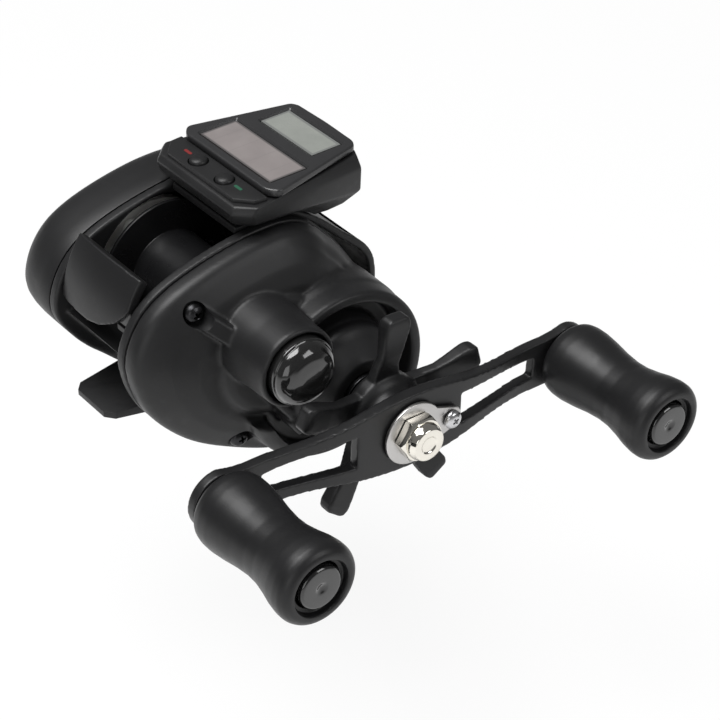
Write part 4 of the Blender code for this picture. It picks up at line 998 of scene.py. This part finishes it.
def nut():
    start, end = RETAINER_FACE + 1.2, 62.0
    hexagon = arc((0, 0), 5.6, 0, 300, 5)
    body = as_piece("arm_nut", tilted(slab(hexagon, start, end - 2.2)))
    # the hexagon's corners are turned off to a cone
    corner_cone = lathe([(start - 1, 0), (start - 1, 5.15), (start + 0.6, 5.65), (end - 3.0, 5.65),
                         (end - 2.2, 5.0), (end - 1, 4.6), (end - 1, 0)], on_axis(CRANK))
    carve(body, corner_cone, "INTERSECT")
    eased(body, 0.12, 2, 30)
    boss = lathe(softened([(end - 3, 0), (end - 3, 4.6), (end - 1.2, 4.4), (end, 3.9), (end, 2.2),
                           (end - 0.35, 1.8), (end - 0.35, 0)], 0.3), on_axis(CRANK))
    carve(body, boss, "UNION")
    carve(body, rod(3.3, 50, 59.2, CRANK))
    return place_on(body, "crank", "chrome", CHROME, "handle_nut", sharp=30)


keeper(), nut()
print("handle ready")

# %% [markdown]
# ## Star drag
# Five paddle arms stand round one hub, so one arm is modelled and Geometry Nodes turn copies of it
# round the axis. The tree's inputs are the arm, how many, where the first one points, the axis and
# the finish. Realize Instances makes the copies real, and the result is joined to the hub.

# %% Copies round an axis
def ring_tree():
    tree = bpy.data.node_groups.new("copies_round_axis", "GeometryNodeTree")
    face = tree.interface
    sockets = {name: face.new_socket(name, in_out="INPUT", socket_type="NodeSocket" + kind).identifier
               for name, kind in (("Part", "Object"), ("Count", "Int"), ("First Angle", "Float"),
                                  ("Step Angle", "Float"), ("Axis Point", "Vector"), ("Finish", "Material"))}
    face.new_socket("Geometry", in_out="OUTPUT", socket_type="NodeSocketGeometry")

    def add(kind, links, output=0, **settings):
        node = tree.nodes.new(kind)
        for key, value in settings.items():
            setattr(node, key, value)
        for key, source in links.items():
            tree.links.new(source, node.inputs[key])
        return node.outputs[output]

    given = tree.nodes.new("NodeGroupInput").outputs
    points = add("GeometryNodeMeshLine", {"Count": given["Count"], "Start Location": given["Axis Point"]})
    points.node.inputs["Offset"].default_value = (0, 0, 0)
    index = add("GeometryNodeInputIndex", {})
    turn = add("ShaderNodeMath", {0: index, 1: given["Step Angle"], 2: given["First Angle"]},
               operation="MULTIPLY_ADD")
    angle = add("ShaderNodeCombineXYZ", {0: turn})
    part = add("GeometryNodeObjectInfo", {"Object": given["Part"]}, "Geometry")
    copies = add("GeometryNodeInstanceOnPoints", {"Points": points, "Instance": part, "Rotation": angle})
    real = add("GeometryNodeRealizeInstances", {0: copies})
    shown = add("GeometryNodeSetMaterial", {"Geometry": real, "Material": given["Finish"]})
    tree.links.new(shown, tree.nodes.new("NodeGroupOutput").inputs[0])
    return tree, sockets


RING, RING_INPUT = ring_tree()


def copies_round(name, part, count, first, step, place, material):
    """The part repeated round an axis along X, as one plain mesh object."""
    holder = bpy.data.objects.new(name, bpy.data.meshes.new(name))
    bpy.context.scene.collection.objects.link(holder)
    modifier = holder.modifiers.new("copies", "NODES")
    modifier.node_group = RING
    centre = (0, place[0] * MM, (place[1] - FOOT_HEIGHT) * MM)
    for key, value in (("Part", part), ("Count", count), ("First Angle", first), ("Step Angle", step),
                       ("Axis Point", centre), ("Finish", material)):
        modifier[RING_INPUT[key]] = value
    settle(holder)
    mesh = part.data
    bpy.data.objects.remove(part)
    bpy.data.meshes.remove(mesh)
    return holder


def at_axis(name, bm):
    """A part modelled round the world's X axis, for copying."""
    bmesh.ops.translate(bm, verts=bm.verts, vec=(0, 0, FOOT_HEIGHT))
    return as_piece(name, bm)


# %% Star drag
STAR_ARMS, STAR_ANGLE = 5, math.radians(14.3)


def star_arm():
    """(reach, half width, inner face, outer face) along one paddle."""
    stations = [(6.5, 4.6, 43.5, 46.5), (9.0, 3.5, 43.6, 46.6), (11.5, 2.9, 44.0, 46.9),
                (15.0, 2.7, 45.2, 48.0), (18.0, 2.85, 45.45, 48.7), (21.0, 3.15, 45.6, 49.2),
                (23.4, 3.2, 45.75, 49.6),
                (24.7, 2.8, 45.95, 49.6), (25.35, 2.0, 46.2, 49.3)]
    rings = []
    for reach, half_width, inner, outer in stations:
        rings.append([(inner, reach, -half_width), (outer, reach, -half_width), (outer, reach, half_width),
                      (inner, reach, half_width)])
    return shell(rings)


def star_drag():
    arm = at_axis("star_arm", star_arm())
    eased(arm, 0.45, 3, 50)
    arms = copies_round("star_arms", arm, STAR_ARMS, STAR_ANGLE, math.tau / STAR_ARMS, CRANK, STAR_BLACK)
    hub = [(42.4, 3.4), (42.4, 8.2), (43.4, 9.2), (46.6, 9.2), (47.6, 8.4), (48.4, 7.4), (50.6, 6.6),
           (50.6, 3.4)]
    star = as_piece("star_wheel", lathe(softened(hub, 0.4), on_axis(CRANK)))
    combined(star, arms, "UNION")
    mould(star, 0.34, 3)
    carve(star, rod(3.4, 40, 60, CRANK))
    return place_on(star, "star", "black_metal", STAR_BLACK, "star_drag", sharp=0)


star_drag()

# %% [markdown]
# ## Brake dial
# The dial on the palm side turns the magnets in and out. Its rim has grip flutes, and raised ticks
# count the settings. Both repeat round the axis, so the same nodes place them.

# %% Dial
def brake_dial():
    face, back = -33.7, -30.2
    profile = [(face, 0), (face, 6.8), (face + 0.25, 7.4), (face + 0.8, 8.4), (face + 1.5, 8.8), (back, 8.8),
               (back, 2.6), (-21.9, 2.6), (-21.9, 0)]
    dial = as_piece("brake_knob", lathe(softened(profile, 0.3), on_axis(SPOOL)))
    for low, high in ((1.2, 2.5), (-2.5, -1.2)):
        middle = (low + high) / 2 + SPOOL[1]
        carve(dial, slab(rounded(12.4, high - low, 0.6, 5, (0, middle)), face - 1, face + 1.0))
    flute = at_axis("flute", lathe([(face + 1.2, 0), (face + 1.2, 0.35), (back - 0.3, 0.35), (back - 0.3, 0)],
                                   (0, 8.75, 0), 12))
    flutes = copies_round("flutes", flute, 36, 0.0, math.tau / 36, SPOOL, ARM_BLACK)
    place_on(dial, "dial", "black_metal", ARM_BLACK, "brake_dial", sharp=30)
    place_on(flutes, "dial", "black_metal", ARM_BLACK, sharp=30)
    tick = at_axis("tick", slab(rounded(0.9, 0.28, 0.12, 3, (10.9, 0)), -32.25, -31.0))
    ticks = copies_round("dial_ticks", tick, 10, math.radians(45), math.radians(30), SPOOL, NYLON)
    place_on(ticks, "body", "black_body", NYLON, sharp=30)


brake_dial()

# %% [markdown]
# ## Foot and line guide
# The foot is die-cast, so its edges are rounded. The line guide carries the ceramic ring and rides
# on two rods, and only its arm shows through the slot.

# %% Foot and guide
def softened_copy(node, name, body, slot, material, width, sharp=30):
    """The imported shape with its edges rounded."""
    mesh = frame["nodes"][node].data.copy()
    bm = bmesh.new()
    bm.from_mesh(mesh)
    bmesh.ops.remove_doubles(bm, verts=bm.verts, dist=1e-6)
    bmesh.ops.dissolve_limit(bm, angle_limit=math.radians(1), verts=bm.verts, edges=bm.edges)
    bm.to_mesh(mesh)
    bm.free()
    piece = bpy.data.objects.new(name, mesh)
    bpy.context.scene.collection.objects.link(piece)
    eased(piece, width, 3, 35)
    return place_on(piece, body, slot, material, node, sharp=sharp)


softened_copy("reel_foot", "foot_casting", "body", "black_metal", FOOT_BLACK, 0.4)
softened_copy("line_guide", "guide_carriage", "guide", "black_body", BODY_BLACK, 0.25)
print("pieces:", len(PIECES), "with", sum(PIECES.values()), "faces")

# %% [markdown]
# ## Camera, light and floor
# A long lens looks down at the handle side. One broad lamp overhead and two weaker ones at the sides
# keep the blacks readable without burning the chrome. The floor lies under the lowest sweep of the
# handle.

# %% Stage
camera = bpy.data.objects.new("camera", bpy.data.cameras.new("camera"))
bpy.context.scene.collection.objects.link(camera)
camera.data.lens = 116.4
camera.data.sensor_width = 36
camera.data.clip_end = 10
camera.location = Vector((366.05, -235.33, 311.86)) * MM
camera.rotation_euler = Vector((-0.6436, 0.4964, -0.5825)).to_track_quat("-Z", "Y").to_euler()
bpy.context.scene.camera = camera


def lamp(name, place, power, size, target=(0.02, 0.01, 0.02)):
    light = bpy.data.objects.new(name, bpy.data.lights.new(name, "AREA"))
    bpy.context.scene.collection.objects.link(light)
    light.data.energy, light.data.size = power, size
    light.location = place
    light.rotation_euler = (Vector(target) - Vector(place)).to_track_quat("-Z", "Y").to_euler()


lamp("key_lamp", (-0.10, -0.20, 0.75), 9.0, 0.55)
lamp("side_lamp", (0.65, 0.30, 0.45), 1.8, 0.35)
lamp("low_lamp", (0.45, -0.60, 0.20), 1.0, 0.40)

bm = bmesh.new()
bmesh.ops.create_grid(bm, x_segments=1, y_segments=1, size=3.0)
floor = bpy.data.objects.new("floor", bpy.data.meshes.new("floor"))
bm.to_mesh(floor.data)
bm.free()
floor.location.z = -0.075
bpy.context.scene.collection.objects.link(floor)
floor_paint = Finish("floor_paint")
floor_paint.shader.inputs["Base Color"].default_value = (0.86, 0.86, 0.86, 1)
floor_paint.shader.inputs["Roughness"].default_value = 0.9
rays = floor_paint.add("ShaderNodeLightPath", output="Is Camera Ray")
glow = floor_paint.add("ShaderNodeEmission", {}, {"Color": (1, 1, 1, 1), "Strength": 1.0})
shown = floor_paint.add("ShaderNodeMixShader", {}, {
    0: rays * 0.9, 1: Wire(floor_paint, floor_paint.shader.outputs[0]), 2: glow})
output = floor_paint.tree.nodes["Material Output"]
floor_paint.tree.links.new(shown.socket, output.inputs["Surface"])
floor.data.materials.append(floor_paint.material)

world = bpy.data.worlds.new("studio")
bpy.context.scene.world = world
world.use_nodes = True
world.node_tree.nodes["Background"].inputs["Color"].default_value = (1, 1, 1, 1)
world.node_tree.nodes["Background"].inputs["Strength"].default_value = 0.18
bpy.context.scene.view_settings.view_transform = "Standard"
print("stage ready")
